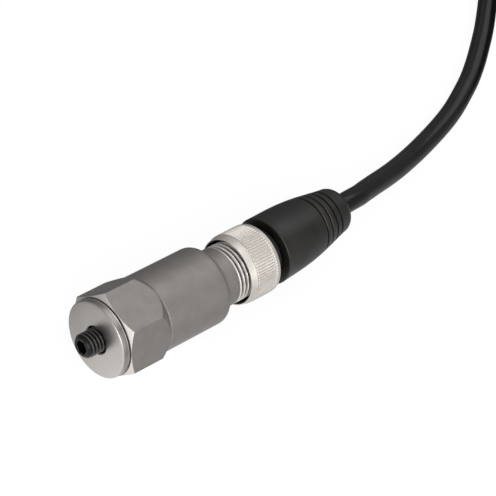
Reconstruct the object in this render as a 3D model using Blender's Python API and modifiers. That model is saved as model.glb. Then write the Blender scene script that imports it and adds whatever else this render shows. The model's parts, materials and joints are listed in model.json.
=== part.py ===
"""Industrial vibration sensor with a moulded cable plug screwed on to it.

The sensor lies on one flat of its hexagon, its axis along +X: the mounting stud at -X, the cable at +X.
Every x below runs along that axis from the seating face, which is x = 0. The plug hangs a little askew
in the coupling nut, as a plug does before the nut is tight, so its pieces have an axis of their own.
"""
import math

import bmesh
import bpy
from mathutils import Matrix, Vector

MM = 0.001
CLEARANCE = 0.3 * MM        # what touches in the real sensor stays this far apart here
MERGE = 0.00001             # merge distance for points that meet on an axis

# Base plate, with the seating face, and the stud in it
SEAT_RADIUS = 7.95 * MM
SEAT_FACE = -0.4 * MM          # the face stands this far in front of where lengths start
SEAT_THICKNESS = 1.0 * MM
SEAT_ROUND = 0.6 * MM
BASE_TOP = 8.0 * MM
STUD_HOLE_RADIUS = 2.75 * MM
STUD_HOLE_DEPTH = 5.0 * MM
STUD_COUNTERSINK = 0.25 * MM
STUD_RADIUS = 2.45 * MM
STUD_ROOT_RADIUS = 2.05 * MM
STUD_PITCH = 0.8 * MM
STUD_OUT = 3.9 * MM
STUD_TIP_RADIUS = 1.9 * MM
STUD_SOCKET_FLATS = 2.5 * MM
STUD_SOCKET_DEPTH = 2.4 * MM

# The sensing stack: discs on the base plate, clamped by a bolt
STACK_HOLE_RADIUS = 1.8 * MM
STACK_RADIUS = 4.5 * MM
ELECTRODE_RADIUS = 4.75 * MM
MASS_RADIUS = 4.7 * MM
INSULATOR_THICKNESS = 0.5 * MM
PIEZO_THICKNESS = 1.2 * MM
ELECTRODE_THICKNESS = 0.3 * MM
MASS_THICKNESS = 3.5 * MM
WASHER_THICKNESS = 0.4 * MM
WASHER_RADIUS = 3.2 * MM
BOLT_RADIUS = 1.45 * MM
BOLT_HEAD_RADIUS = 2.75 * MM
BOLT_HEAD_HEIGHT = 2.0 * MM
BOLT_SOCKET_FLATS = 2.5 * MM
BOLT_SOCKET_DEPTH = 1.2 * MM
BOLT_DEPTH = 2.1 * MM
BOLT_HOLE_DEPTH = 2.4 * MM

# Shield can over the stack, and the electronics behind it
CAN_RADIUS = 6.2 * MM
CAN_WALL = 0.35 * MM
CAN_HEADROOM = 0.35 * MM        # from the bolt's head to the can's roof
CAN_MOUTH_RADIUS = 3.8 * MM
BOARD_RADIUS = 6.15 * MM
BOARD_THICKNESS = 0.8 * MM
SPACER_WALL = 0.9 * MM
SPACER_LOWER_HEIGHT = 1.0 * MM
SPACER_UPPER_HEIGHT = 2.0 * MM
CHIP_SIZE = (1.0 * MM, 3.2 * MM, 3.0 * MM)
OUTPUT_CHIP_SIZE = (0.7 * MM, 2.6 * MM, 2.6 * MM)
CHIP_OFFSET = 2.2 * MM
LINK_PIN_RADIUS = 0.3 * MM
LINK_PIN_PITCH = 2.0 * MM
LINK_PIN_OFFSET = 3.6 * MM
LEAD_RADIUS = 0.2 * MM
LEAD_OFFSET = 5.25 * MM

# Where the inner pieces end, each a clearance beyond the last. The body, neck and plug follow
HEAD_END = (BASE_TOP + 7 * CLEARANCE + INSULATOR_THICKNESS + 2 * PIEZO_THICKNESS + ELECTRODE_THICKNESS
            + MASS_THICKNESS + WASHER_THICKNESS + BOLT_HEAD_HEIGHT)
CAN_END = HEAD_END + CAN_HEADROOM + CAN_WALL
BOARDS_END = CAN_END + 4 * CLEARANCE + SPACER_LOWER_HEIGHT + SPACER_UPPER_HEIGHT + 2 * BOARD_THICKNESS

# Hexagon, body and neck: one turned and milled piece of stainless steel
HEX_ACROSS_FLATS = 16.0 * MM
BODY_RADIUS = 8.0 * MM
HEX_START = 1.3 * MM
HEX_FRONT_RADIUS = 7.98 * MM
HEX_FRONT_CHAMFER = math.radians(30)   # from the end face, as on a nut
HEX_CORNER_END = 9.1 * MM
HEX_REAR_CHAMFER = math.radians(31)    # from the axis
CREASE_DEPTH = 0.12 * MM
CREASE_WIDTH = 0.2 * MM
SHOULDER = BOARDS_END + CLEARANCE + 1.4 * MM
SHOULDER_ROUND = 1.6 * MM
NECK_RADIUS = 5.95 * MM
NECK_FILLET = 0.4 * MM
NECK_END = SHOULDER + 9.6 * MM
NECK_CHAMFER = 0.4 * MM
CAVITY_RADIUS = 6.5 * MM
CAVITY_END = BOARDS_END + CLEARANCE
THROAT_RADIUS = 4.1 * MM
INSERT_SEAT = SHOULDER + 1.2 * MM
SOCKET_RADIUS = 4.7 * MM

# Connector: four pins in an insert in the neck
PIN_COUNT = 4
PIN_CIRCLE_RADIUS = 2.0 * MM
PIN_RADIUS = 0.45 * MM
PIN_END = SHOULDER + 8.8 * MM
INSERT_RADIUS = 4.4 * MM
INSERT_LENGTH = 3.1 * MM
PIN_HOLE_RADIUS = 0.75 * MM
SEAL_WIRE_RADIUS = 0.3 * MM
SEAL_GROOVE_WIDTH = 1.2 * MM
INSERT_GROOVE_START = SHOULDER + 2.6 * MM
INSERT_GROOVE_RADIUS = 3.6 * MM

# Plug: contact carrier, coupling nut, its retaining ring and the overmoulding
PLUG_SWING = math.radians(2.87)        # the plug's axis turned about the vertical at the neck's mouth
CARRIER_START = SHOULDER + 6.1 * MM
CARRIER_NOSE_RADIUS = 4.1 * MM
CARRIER_GROOVE_START = SHOULDER + 8.4 * MM
CARRIER_GROOVE_RADIUS = 3.45 * MM
FLANGE_START = SHOULDER + 10.3 * MM
FLANGE_END = SHOULDER + 11.2 * MM
FLANGE_RADIUS = 5.95 * MM
COLLAR_RADIUS = 5.2 * MM
SPIGOT_RADIUS = 4.0 * MM
SPIGOT_LENGTH = 6.5 * MM
CONTACT_RADIUS = 0.95 * MM
CONTACT_BORE_RADIUS = 0.72 * MM
CONTACT_BORE_DEPTH = 4.7 * MM
CONTACT_LENGTH = 6.7 * MM
CONTACT_HOLE_RADIUS = 1.2 * MM

NUT_START = SHOULDER + 5.9 * MM
NUT_END = SHOULDER + 13.7 * MM
NUT_RADIUS = 7.25 * MM
NUT_FRONT_RADIUS = 6.85 * MM
NUT_CONE_LENGTH = 1.3 * MM
NUT_CONE_END_RADIUS = 7.2 * MM
KNURL_ROOT_RADIUS = 6.98 * MM
KNURL_START = SHOULDER + 7.6 * MM
KNURL_END = SHOULDER + 12.5 * MM
KNURL_RUN_OUT = 0.25 * MM
KNURL_FLUTES = 80
NUT_REAR_CHAMFER = 0.3 * MM
NUT_REAR_RADIUS = 6.8 * MM
NUT_MOUTH_RADIUS = 6.7 * MM
NUT_MOUTH_DEPTH = 1.0 * MM
NUT_BORE_RADIUS = 6.3 * MM
NUT_LIP_RADIUS = 5.9 * MM
RING_START = SHOULDER + 11.9 * MM
RING_THICKNESS = 0.6 * MM
RING_INNER_RADIUS = 5.65 * MM
RING_RADIUS = 6.45 * MM
RING_GAP = math.radians(30)

OVERMOULD_START = SHOULDER + 16.1 * MM
OVERMOULD_END = SHOULDER + 38.0 * MM
OVERMOULD_RADIUS = 7.09 * MM
OVERMOULD_END_RADIUS = 4.32 * MM       # where the barrel curve would reach the end face
OVERMOULD_FRONT_ROUND = 0.3 * MM
OVERMOULD_END_ROUND = 2.0 * MM
GROOVE_COUNT = 4
GROOVE_START = OVERMOULD_END - 9.8 * MM
GROOVE_PITCH = 1.77 * MM
GROOVE_WIDTH = 0.6 * MM
GROOVE_DEPTH = 0.5 * MM
CABLE_RECESS_DEPTH = 2.0 * MM

# Cable: its route on the table, the coil of its spare length, and its stripped end
CABLE_RADIUS = 2.25 * MM
COIL_CENTRE = (152.4 * MM, 19.5 * MM)
COIL_INNER_RADIUS = 18.0 * MM
COIL_COLUMNS = 3
COIL_LAYERS = 4
TIE_THICKNESS = 0.7 * MM
TIE_WIDTH = 3.5 * MM
TIE_ANGLES = (math.radians(20), math.radians(250))
TAIL_RADIUS = 24.75 * MM
TAIL_START = math.radians(140)
TAIL_END = math.radians(85)
CORE_RADIUS = 0.6 * MM
CORE_LENGTH = 20.0 * MM
CORE_FAN = math.radians(7)

# The cable's route from the plug to the coil, chosen by hand, in metres in the part's own frame
CABLE_ROUTE = [
    (0.03295, 0.00134, 0.0080), (0.0368, 0.00155, 0.0080), (0.0392, 0.0017, 0.0078),
    (0.0418, 0.0019, 0.0074), (0.0443, 0.0023, 0.0069), (0.0483, 0.0029, 0.0061),
    (0.0526, 0.0035, 0.0052), (0.0569, 0.0042, 0.0044), (0.0614, 0.0051, 0.0036),
    (0.0659, 0.0061, 0.0030), (0.0704, 0.0072, 0.0026), (0.0749, 0.0084, 0.0024),
    (0.0796, 0.0098, 0.0023), (0.0840, 0.0114, 0.0023), (0.0891, 0.0137, 0.0023),
    (0.0935, 0.0159, 0.0023), (0.0980, 0.0186, 0.0023), (0.1024, 0.0216, 0.0023),
    (0.1071, 0.0250, 0.0023), (0.1121, 0.0291, 0.0023), (0.1170, 0.0334, 0.0023),
    (0.1212, 0.0372, 0.0023), (0.1254, 0.0410, 0.0023), (0.1296, 0.0448, 0.0023),
]

# Places that follow from the sizes above
AXIS_HEIGHT = HEX_ACROSS_FLATS / 2
HEX_CORNER_RADIUS = AXIS_HEIGHT / math.cos(math.pi / 6)
REAR_REACH = (NECK_END + (OVERMOULD_END - NECK_END) * math.cos(PLUG_SWING)
              + (OVERMOULD_END_RADIUS - OVERMOULD_END_ROUND) * math.sin(PLUG_SWING))
X_MIDDLE = (REAR_REACH - STUD_OUT) / 2
COIL_RADIUS = COIL_INNER_RADIUS + COIL_COLUMNS * 2 * CABLE_RADIUS
COIL_BOTTOM = TIE_THICKNESS + CLEARANCE
COIL_TOP = COIL_BOTTOM + COIL_LAYERS * 2 * CABLE_RADIUS


def linear(hex_colour):
    """An sRGB colour such as #8f8b86 as linear red, green, blue and alpha."""
    parts = [int(hex_colour[i:i + 2], 16) / 255 for i in (1, 3, 5)]
    return [c / 12.92 if c <= 0.04045 else ((c + 0.055) / 1.055) ** 2.4 for c in parts] + [1.0]


def make_material(name, hex_colour, metallic, roughness):
    material = bpy.data.materials.new(name)
    material.use_nodes = True
    shader = material.node_tree.nodes["Principled BSDF"]
    shader.inputs["Base Color"].default_value = linear(hex_colour)
    shader.inputs["Metallic"].default_value = metallic
    shader.inputs["Roughness"].default_value = roughness
    return material


def make_materials():
    table = {
        "stainless": ("#928e89", 1.0, 0.38),
        "bright_steel": ("#b4b1ac", 1.0, 0.25),
        "black_steel": ("#1b1a19", 0.8, 0.4),
        "ceramic": ("#ddd8cc", 0.0, 0.5),
        "piezo": ("#b9a77d", 0.0, 0.6),
        "brass": ("#c2a25a", 1.0, 0.35),
        "heavy_alloy": ("#6f6d6b", 1.0, 0.4),
        "circuit_board": ("#2c5b3a", 0.0, 0.5),
        "chip_black": ("#161616", 0.0, 0.5),
        "insert_plastic": ("#1d1d1e", 0.0, 0.55),
        "gold": ("#d4af57", 1.0, 0.25),
        "seal_rubber": ("#7d2a1e", 0.0, 0.7),
        "nickel": ("#cbc6be", 1.0, 0.3),
        "black_plastic": ("#161616", 0.0, 0.5),
        "overmould": ("#242424", 0.0, 0.5),
        "cable_jacket": ("#1e1e1f", 0.0, 0.45),
        "tie": ("#1a1a1a", 0.0, 0.6),
        "core_brown": ("#5c3a24", 0.0, 0.5),
        "core_white": ("#dcdad4", 0.0, 0.5),
        "core_blue": ("#2f5a9c", 0.0, 0.5),
        "core_black": ("#191919", 0.0, 0.5),
    }
    return {name: make_material(name, *values) for name, values in table.items()}


def clear_scene():
    for obj in list(bpy.data.objects):
        bpy.data.objects.remove(obj, do_unlink=True)


def make_collection(name):
    collection = bpy.data.collections.new(name)
    bpy.context.scene.collection.children.link(collection)
    return collection


def make_axis(name, location, angle=0.0, parent=None):
    """An empty whose X axis is the axis that its pieces are turned about."""
    empty = bpy.data.objects.new(name, None)
    empty.location = location
    empty.rotation_euler = (0.0, 0.0, angle)
    empty.parent = parent
    PARTS.objects.link(empty)
    return empty


def add_object(name, mesh, material, parent=None, location=(0, 0, 0), rotation=(0, 0, 0), collection=None):
    obj = bpy.data.objects.new(name, mesh)
    obj.location = location
    obj.rotation_euler = rotation
    obj.parent = parent
    if material:
        obj.data.materials.append(MATERIALS[material])
    (collection or PARTS).objects.link(obj)
    return obj


def apply_modifiers(obj):
    """Replaces the object's mesh by what its modifiers make of it, shaded smooth up to its edges."""
    bpy.context.view_layer.update()
    evaluated = obj.evaluated_get(bpy.context.evaluated_depsgraph_get())
    mesh = bpy.data.meshes.new_from_object(evaluated)
    obj.modifiers.clear()
    obj.data = mesh
    mesh.name = obj.name
    mesh.shade_smooth()
    mesh.set_sharp_from_angle(angle=math.radians(30))
    return obj


def turned(name, profile, material, axis, start=0.0, offset=(0.0, 0.0), steps=24, closed=True, cutter=False):
    """A turned piece. The profile holds (x, radius) points from the cable's end down the outer side.

    A closed profile goes on up the bore; an open one starts and ends on the axis.
    """
    mesh = bpy.data.meshes.new(name)
    vertices = [(radius, 0.0, x) for x, radius in profile]
    edges = [(i, i + 1) for i in range(len(vertices) - 1)]
    if closed:
        edges.append((len(vertices) - 1, 0))
    mesh.from_pydata(vertices, edges, [])
    obj = add_object(name, mesh, material, axis, (-start, *offset), (0.0, math.pi / 2, 0.0),
                     CUTTERS if cutter else PARTS)
    screw = obj.modifiers.new("turn", "SCREW")
    screw.steps = steps
    screw.render_steps = steps
    screw.use_merge_vertices = True
    screw.merge_threshold = MERGE
    screw.use_smooth_shade = True
    if cutter:
        obj.hide_render = True
        obj.display_type = "WIRE"
    return obj


def prism_cutter(name, radius, sides, x_from, x_to, axis, start=0.0, offset=(0.0, 0.0), turn=0.0):
    """A many-sided bar along the axis that cuts a hole, with its corners on the given radius."""
    mesh = bpy.data.meshes.new(name)
    bar = bmesh.new()
    bmesh.ops.create_cone(bar, cap_ends=True, segments=sides, radius1=radius, radius2=radius, depth=x_to - x_from)
    bmesh.ops.rotate(bar, verts=bar.verts, matrix=Matrix.Rotation(turn, 3, "Z"))
    bmesh.ops.translate(bar, verts=bar.verts, vec=(0.0, 0.0, (x_from + x_to) / 2))
    bar.to_mesh(mesh)
    bar.free()
    obj = add_object(name, mesh, None, axis, (-start, *offset), (0.0, math.pi / 2, 0.0), CUTTERS)
    obj.hide_render = True
    obj.display_type = "WIRE"
    return obj


def cut(obj, cutter):
    modifier = obj.modifiers.new(cutter.name, "BOOLEAN")
    modifier.operation = "DIFFERENCE"
    modifier.solver = "EXACT"
    modifier.object = cutter


def ring(name, x, thickness, outer, inner, material, axis, steps=20):
    """A flat washer from x to x + thickness, finished and ready."""
    profile = [(x + thickness, outer), (x, outer), (x, inner), (x + thickness, inner)]
    return apply_modifiers(turned(name, profile, material, axis, steps=steps))


def disc(name, x, thickness, radius, material, axis, steps=20):
    profile = [(x + thickness, 0.0), (x + thickness, radius), (x, radius), (x, 0.0)]
    return apply_modifiers(turned(name, profile, material, axis, steps=steps, closed=False))


def seal_ring(name, x, centre_radius, axis, start=0.0):
    """A round-section rubber ring, as a circle turned about the axis."""
    corners = 6
    profile = [(x + SEAL_WIRE_RADIUS * math.cos(-2 * math.pi * i / corners + math.pi / 2),
                centre_radius + SEAL_WIRE_RADIUS * math.sin(-2 * math.pi * i / corners + math.pi / 2))
               for i in range(corners)]
    return apply_modifiers(turned(name, profile[::-1], "seal_rubber", axis, start=start, steps=20))


def round_corner(x_centre, r_centre, radius, angle_from, angle_to, segments=4):
    """Points of an arc in the (x, radius) plane, by angle from +X towards larger radius."""
    points = []
    for i in range(segments + 1):
        angle = angle_from + (angle_to - angle_from) * i / segments
        points.append((x_centre + radius * math.cos(angle), r_centre + radius * math.sin(angle)))
    return points


def contact_places():
    """Where the contacts stand on their circle, across the axis: one (y, z) pair each."""
    places = []
    for i in range(PIN_COUNT):
        angle = math.pi / 4 + i * 2 * math.pi / PIN_COUNT
        places.append((PIN_CIRCLE_RADIUS * math.cos(angle), PIN_CIRCLE_RADIUS * math.sin(angle)))
    return places


def make_housing(axis):
    """Hexagon, round body and threaded neck in one piece, bored from both ends."""
    corner = HEX_CORNER_RADIUS + 0.05 * MM
    front_chamfer_end = HEX_START + (corner - HEX_FRONT_RADIUS) * math.tan(HEX_FRONT_CHAMFER)
    crease_radius = BODY_RADIUS - CREASE_DEPTH
    crease = HEX_CORNER_END + (corner - crease_radius) / math.tan(HEX_REAR_CHAMFER)
    profile = [
        (NECK_END, SOCKET_RADIUS),
        (NECK_END, NECK_RADIUS - NECK_CHAMFER),
        (NECK_END - NECK_CHAMFER, NECK_RADIUS),
        (SHOULDER + NECK_FILLET, NECK_RADIUS),
        (SHOULDER, NECK_RADIUS + NECK_FILLET),
    ]
    profile += round_corner(SHOULDER - SHOULDER_ROUND, BODY_RADIUS - SHOULDER_ROUND, SHOULDER_ROUND, 0.0, math.pi / 2)
    profile += [
        (crease + CREASE_WIDTH, BODY_RADIUS),
        (crease, crease_radius),
        (HEX_CORNER_END, corner),
        (front_chamfer_end, corner),
        (HEX_START, HEX_FRONT_RADIUS),
        (HEX_START, CAVITY_RADIUS),
        (CAVITY_END, CAVITY_RADIUS),
        (CAVITY_END, THROAT_RADIUS),
        (INSERT_SEAT, THROAT_RADIUS),
        (INSERT_SEAT, SOCKET_RADIUS),
    ]
    housing = turned("sensor_housing", profile, "stainless", axis, steps=48)
    cutter_end = crease + CREASE_WIDTH / 2
    sleeve = prism_cutter("flats_cutter", 1.5 * HEX_CORNER_RADIUS, 32, 0.0, cutter_end, axis)
    core = prism_cutter("flats_core", HEX_CORNER_RADIUS, 6, -CLEARANCE, cutter_end + CLEARANCE, axis)
    cut(sleeve, core)
    cut(housing, sleeve)
    return apply_modifiers(housing)


def make_base_plate(axis):
    """The seating face and the plug of steel behind it, with a blind hole from each side."""
    profile = [
        (BASE_TOP - BOLT_HOLE_DEPTH, 0.0),
        (BASE_TOP - BOLT_HOLE_DEPTH, STACK_HOLE_RADIUS),
        (BASE_TOP, STACK_HOLE_RADIUS),
        (BASE_TOP, CAVITY_RADIUS - CLEARANCE),
        (SEAT_THICKNESS, CAVITY_RADIUS - CLEARANCE),
        (SEAT_THICKNESS, SEAT_RADIUS),
    ]
    profile += round_corner(SEAT_FACE + SEAT_ROUND, SEAT_RADIUS - SEAT_ROUND, SEAT_ROUND, math.pi / 2, math.pi, 3)
    profile += [
        (SEAT_FACE, STUD_HOLE_RADIUS + STUD_COUNTERSINK),
        (SEAT_FACE + STUD_COUNTERSINK, STUD_HOLE_RADIUS),
        (STUD_HOLE_DEPTH, STUD_HOLE_RADIUS),
        (STUD_HOLE_DEPTH, 0.0),
    ]
    return apply_modifiers(turned("base_plate", profile, "bright_steel", axis, steps=40, closed=False))


def make_stud(axis):
    """Set screw with a hexagon socket in its free end. Its thread is turned rings of the thread's form."""
    profile = [(STUD_HOLE_DEPTH - CLEARANCE, 0.0), (STUD_HOLE_DEPTH - CLEARANCE, STUD_RADIUS)]
    ridges = round((STUD_OUT + STUD_COUNTERSINK) / STUD_PITCH)
    first = STUD_COUNTERSINK
    for i in range(ridges):
        crest = first - (i + 0.15) * STUD_PITCH
        profile.append((crest, STUD_RADIUS))
        profile.append((crest - STUD_PITCH / 2, STUD_ROOT_RADIUS))
    profile += [(-STUD_OUT, STUD_TIP_RADIUS), (-STUD_OUT, 0.0)]
    stud = turned("mounting_stud", profile, "black_steel", axis, steps=24, closed=False)
    corner = STUD_SOCKET_FLATS / 2 / math.cos(math.pi / 6)
    cut(stud, prism_cutter("stud_socket_cutter", corner, 6, -STUD_OUT - CLEARANCE,
                           STUD_SOCKET_DEPTH - STUD_OUT, axis, turn=math.pi / 6))
    return apply_modifiers(stud)


def make_stack(axis):
    """The discs between the base plate and the bolt's head. Returns the x where the head ends."""
    x = BASE_TOP + CLEARANCE
    layers = [
        ("base_insulator", INSULATOR_THICKNESS, STACK_RADIUS, "ceramic"),
        ("piezo_ring_lower", PIEZO_THICKNESS, STACK_RADIUS, "piezo"),
        ("electrode_ring", ELECTRODE_THICKNESS, ELECTRODE_RADIUS, "brass"),
        ("piezo_ring_upper", PIEZO_THICKNESS, STACK_RADIUS, "piezo"),
        ("seismic_mass", MASS_THICKNESS, MASS_RADIUS, "heavy_alloy"),
        ("preload_washer", WASHER_THICKNESS, WASHER_RADIUS, "ceramic"),
    ]
    electrode_x = x
    for name, thickness, radius, material in layers:
        ring(name, x, thickness, radius, STACK_HOLE_RADIUS, material, axis)
        if name == "electrode_ring":
            electrode_x = x + thickness / 2
        x += thickness + CLEARANCE
    head_end = x + BOLT_HEAD_HEIGHT
    profile = [
        (head_end, 0.0), (head_end, BOLT_HEAD_RADIUS), (x, BOLT_HEAD_RADIUS),
        (x, BOLT_RADIUS), (BASE_TOP - BOLT_DEPTH, BOLT_RADIUS), (BASE_TOP - BOLT_DEPTH, 0.0),
    ]
    bolt = turned("preload_bolt", profile, "bright_steel", axis, steps=20, closed=False)
    corner = BOLT_SOCKET_FLATS / 2 / math.cos(math.pi / 6)
    cut(bolt, prism_cutter("bolt_socket_cutter", corner, 6, head_end - BOLT_SOCKET_DEPTH,
                           head_end + CLEARANCE, axis))
    apply_modifiers(bolt)
    return electrode_x, head_end


def make_electronics(axis, electrode_x, head_end):
    """Shield can, spacers, two round boards with what stands on them, and the lead from the stack."""
    can_start = BASE_TOP + CLEARANCE
    can_end = CAN_END
    inner = CAN_RADIUS - CAN_WALL
    profile = [
        (can_end, CAN_MOUTH_RADIUS), (can_end, CAN_RADIUS), (can_start, CAN_RADIUS),
        (can_start, inner), (can_end - CAN_WALL, inner), (can_end - CAN_WALL, CAN_MOUTH_RADIUS),
    ]
    apply_modifiers(turned("shield_can", profile, "brass", axis, steps=28))
    x = can_end + CLEARANCE
    ring("spacer_lower", x, SPACER_LOWER_HEIGHT, CAN_RADIUS, CAN_RADIUS - SPACER_WALL, "insert_plastic", axis)
    x += SPACER_LOWER_HEIGHT + CLEARANCE
    disc("amplifier_board", x, BOARD_THICKNESS, BOARD_RADIUS, "circuit_board", axis)
    lead_end = x - CLEARANCE
    x += BOARD_THICKNESS + CLEARANCE
    ring("spacer_upper", x, SPACER_UPPER_HEIGHT, CAN_RADIUS, CAN_RADIUS - SPACER_WALL, "insert_plastic", axis)
    make_block("amplifier_chip", CHIP_SIZE, (x + CHIP_SIZE[0] / 2, -CHIP_OFFSET, 0.0), axis)
    upper_board = x + SPACER_UPPER_HEIGHT + CLEARANCE
    chip_x = upper_board - CLEARANCE - OUTPUT_CHIP_SIZE[0] / 2
    make_block("output_chip", OUTPUT_CHIP_SIZE, (chip_x, CHIP_OFFSET, 0.0), axis)
    make_link_pins(x, upper_board - CLEARANCE, axis)
    disc("output_board", upper_board, BOARD_THICKNESS, BOARD_RADIUS, "circuit_board", axis)
    bend = (head_end + can_end - CAN_WALL) / 2
    route = [
        (electrode_x, LEAD_OFFSET), (head_end - 2.0 * MM, LEAD_OFFSET), (head_end - 1.0 * MM, LEAD_OFFSET - 0.2 * MM),
        (bend, LEAD_OFFSET - 1.2 * MM), (can_end, CAN_MOUTH_RADIUS - 0.9 * MM), (lead_end, CAN_MOUTH_RADIUS - 1.2 * MM),
    ]
    points = smooth_points([Vector((px, 0.0, pz)) for px, pz in route], 1.2 * MM)
    tube("signal_lead", points, LEAD_RADIUS, "core_white", 1, axis)
    return upper_board + BOARD_THICKNESS


def make_block(name, size, centre, axis):
    """A small bevelled box, such as a chip on a board."""
    mesh = bpy.data.meshes.new(name)
    block = bmesh.new()
    bmesh.ops.create_cube(block, size=1.0)
    bmesh.ops.scale(block, verts=block.verts, vec=size)
    block.to_mesh(mesh)
    block.free()
    obj = add_object(name, mesh, "chip_black", axis, centre)
    bevel = obj.modifiers.new("edges", "BEVEL")
    bevel.width = min(size) / 8
    bevel.segments = 1
    return apply_modifiers(obj)


def make_link_pins(x_from, x_to, axis):
    """A row of three pins that joins the two boards."""
    profile = [(x_to, 0.0), (x_to, LINK_PIN_RADIUS), (x_from, LINK_PIN_RADIUS), (x_from, 0.0)]
    for i in range(3):
        place = ((i - 1) * LINK_PIN_PITCH, -LINK_PIN_OFFSET)
        apply_modifiers(turned(f"board_link_pin_{i + 1}", profile, "gold", axis, offset=place, steps=8, closed=False))


def make_connector_insert(axis, pins_start):
    """The moulded insert in the neck, its seal and the four pins through it."""
    start = INSERT_SEAT + CLEARANCE
    groove = INSERT_GROOVE_START
    profile = [
        (start + INSERT_LENGTH, 0.0), (start + INSERT_LENGTH, INSERT_RADIUS),
        (groove + SEAL_GROOVE_WIDTH, INSERT_RADIUS), (groove + SEAL_GROOVE_WIDTH, INSERT_GROOVE_RADIUS),
        (groove, INSERT_GROOVE_RADIUS), (groove, INSERT_RADIUS), (start, INSERT_RADIUS), (start, 0.0),
    ]
    insert = turned("connector_insert", profile, "insert_plastic", axis, steps=24, closed=False)
    for i, place in enumerate(contact_places()):
        cut(insert, prism_cutter(f"pin_hole_cutter_{i + 1}", PIN_HOLE_RADIUS, 10, start - CLEARANCE,
                                 start + INSERT_LENGTH + CLEARANCE, axis, offset=place))
    apply_modifiers(insert)
    seal_ring("insert_seal", groove + SEAL_GROOVE_WIDTH / 2, INSERT_GROOVE_RADIUS + CLEARANCE + SEAL_WIRE_RADIUS, axis)
    tip = PIN_RADIUS / 2
    pin_profile = [
        (PIN_END, 0.0), (PIN_END, PIN_RADIUS - tip), (PIN_END - tip, PIN_RADIUS),
        (pins_start + CLEARANCE, PIN_RADIUS), (pins_start + CLEARANCE, 0.0),
    ]
    for i, place in enumerate(contact_places()):
        apply_modifiers(turned(f"contact_pin_{i + 1}", pin_profile, "gold", axis, offset=place, steps=10, closed=False))


def make_carrier(axis):
    """The plug's moulded contact carrier, its nose in the neck and its spigot in the overmoulding."""
    groove = CARRIER_GROOVE_START
    collar_end = OVERMOULD_START - CLEARANCE
    profile = [
        (collar_end + SPIGOT_LENGTH, 0.0), (collar_end + SPIGOT_LENGTH, SPIGOT_RADIUS), (collar_end, SPIGOT_RADIUS),
        (collar_end, COLLAR_RADIUS), (FLANGE_END, COLLAR_RADIUS), (FLANGE_END, FLANGE_RADIUS),
        (FLANGE_START, FLANGE_RADIUS), (FLANGE_START, CARRIER_NOSE_RADIUS),
        (groove + SEAL_GROOVE_WIDTH, CARRIER_NOSE_RADIUS), (groove + SEAL_GROOVE_WIDTH, CARRIER_GROOVE_RADIUS),
        (groove, CARRIER_GROOVE_RADIUS), (groove, CARRIER_NOSE_RADIUS),
        (CARRIER_START + CLEARANCE, CARRIER_NOSE_RADIUS), (CARRIER_START, CARRIER_NOSE_RADIUS - CLEARANCE),
        (CARRIER_START, 0.0),
    ]
    carrier = turned("contact_carrier", profile, "black_plastic", axis, start=NECK_END, steps=32, closed=False)
    hole_end = CARRIER_START + CLEARANCE + CONTACT_LENGTH + CLEARANCE
    for i, place in enumerate(contact_places()):
        cut(carrier, prism_cutter(f"contact_hole_cutter_{i + 1}", CONTACT_HOLE_RADIUS, 12,
                                  CARRIER_START - CLEARANCE, hole_end, axis, start=NECK_END, offset=place))
    apply_modifiers(carrier)
    seal_ring("nose_seal", groove + SEAL_GROOVE_WIDTH / 2, CARRIER_GROOVE_RADIUS + CLEARANCE + SEAL_WIRE_RADIUS,
              axis, start=NECK_END)
    first = CARRIER_START + CLEARANCE
    contact_profile = [
        (first + CONTACT_LENGTH, 0.0), (first + CONTACT_LENGTH, CONTACT_RADIUS), (first, CONTACT_RADIUS),
        (first, CONTACT_BORE_RADIUS), (first + CONTACT_BORE_DEPTH, CONTACT_BORE_RADIUS),
        (first + CONTACT_BORE_DEPTH, 0.0),
    ]
    for i, place in enumerate(contact_places()):
        apply_modifiers(turned(f"socket_contact_{i + 1}", contact_profile, "gold", axis, start=NECK_END,
                               offset=place, steps=10, closed=False))


def make_nut(axis):
    """The coupling nut: a turned blank whose outer band is pressed into flutes, then bored."""
    cone_end = NUT_START + NUT_CONE_LENGTH
    profile = [
        (NUT_END, 0.0), (NUT_END, NUT_REAR_RADIUS), (NUT_END - NUT_REAR_CHAMFER, NUT_RADIUS - NUT_REAR_CHAMFER / 2),
        (KNURL_END, NUT_RADIUS), (KNURL_END - KNURL_RUN_OUT, NUT_RADIUS),
        (KNURL_START + KNURL_RUN_OUT, NUT_RADIUS), (KNURL_START, KNURL_ROOT_RADIUS),
        (cone_end + KNURL_RUN_OUT / 2, KNURL_ROOT_RADIUS), (cone_end, NUT_CONE_END_RADIUS),
        (NUT_START, NUT_FRONT_RADIUS), (NUT_START, 0.0),
    ]
    nut = apply_modifiers(turned("coupling_nut", profile, "nickel", axis, steps=2 * KNURL_FLUTES, closed=False))
    press_flutes(nut.data)
    bore_profile = [
        (NUT_END + CLEARANCE, 0.0), (NUT_END + CLEARANCE, NUT_LIP_RADIUS),
        (RING_START + RING_THICKNESS + CLEARANCE, NUT_LIP_RADIUS),
        (RING_START + RING_THICKNESS + CLEARANCE, RING_RADIUS + CLEARANCE),
        (RING_START - CLEARANCE, RING_RADIUS + CLEARANCE), (RING_START - CLEARANCE, NUT_BORE_RADIUS),
        (NUT_START + NUT_MOUTH_DEPTH, NUT_BORE_RADIUS), (NUT_START, NUT_MOUTH_RADIUS),
        (NUT_START - CLEARANCE, NUT_MOUTH_RADIUS), (NUT_START - CLEARANCE, 0.0),
    ]
    cut(nut, turned("nut_bore_cutter", bore_profile, None, axis, steps=40, closed=False, cutter=True))
    return apply_modifiers(nut)


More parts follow.
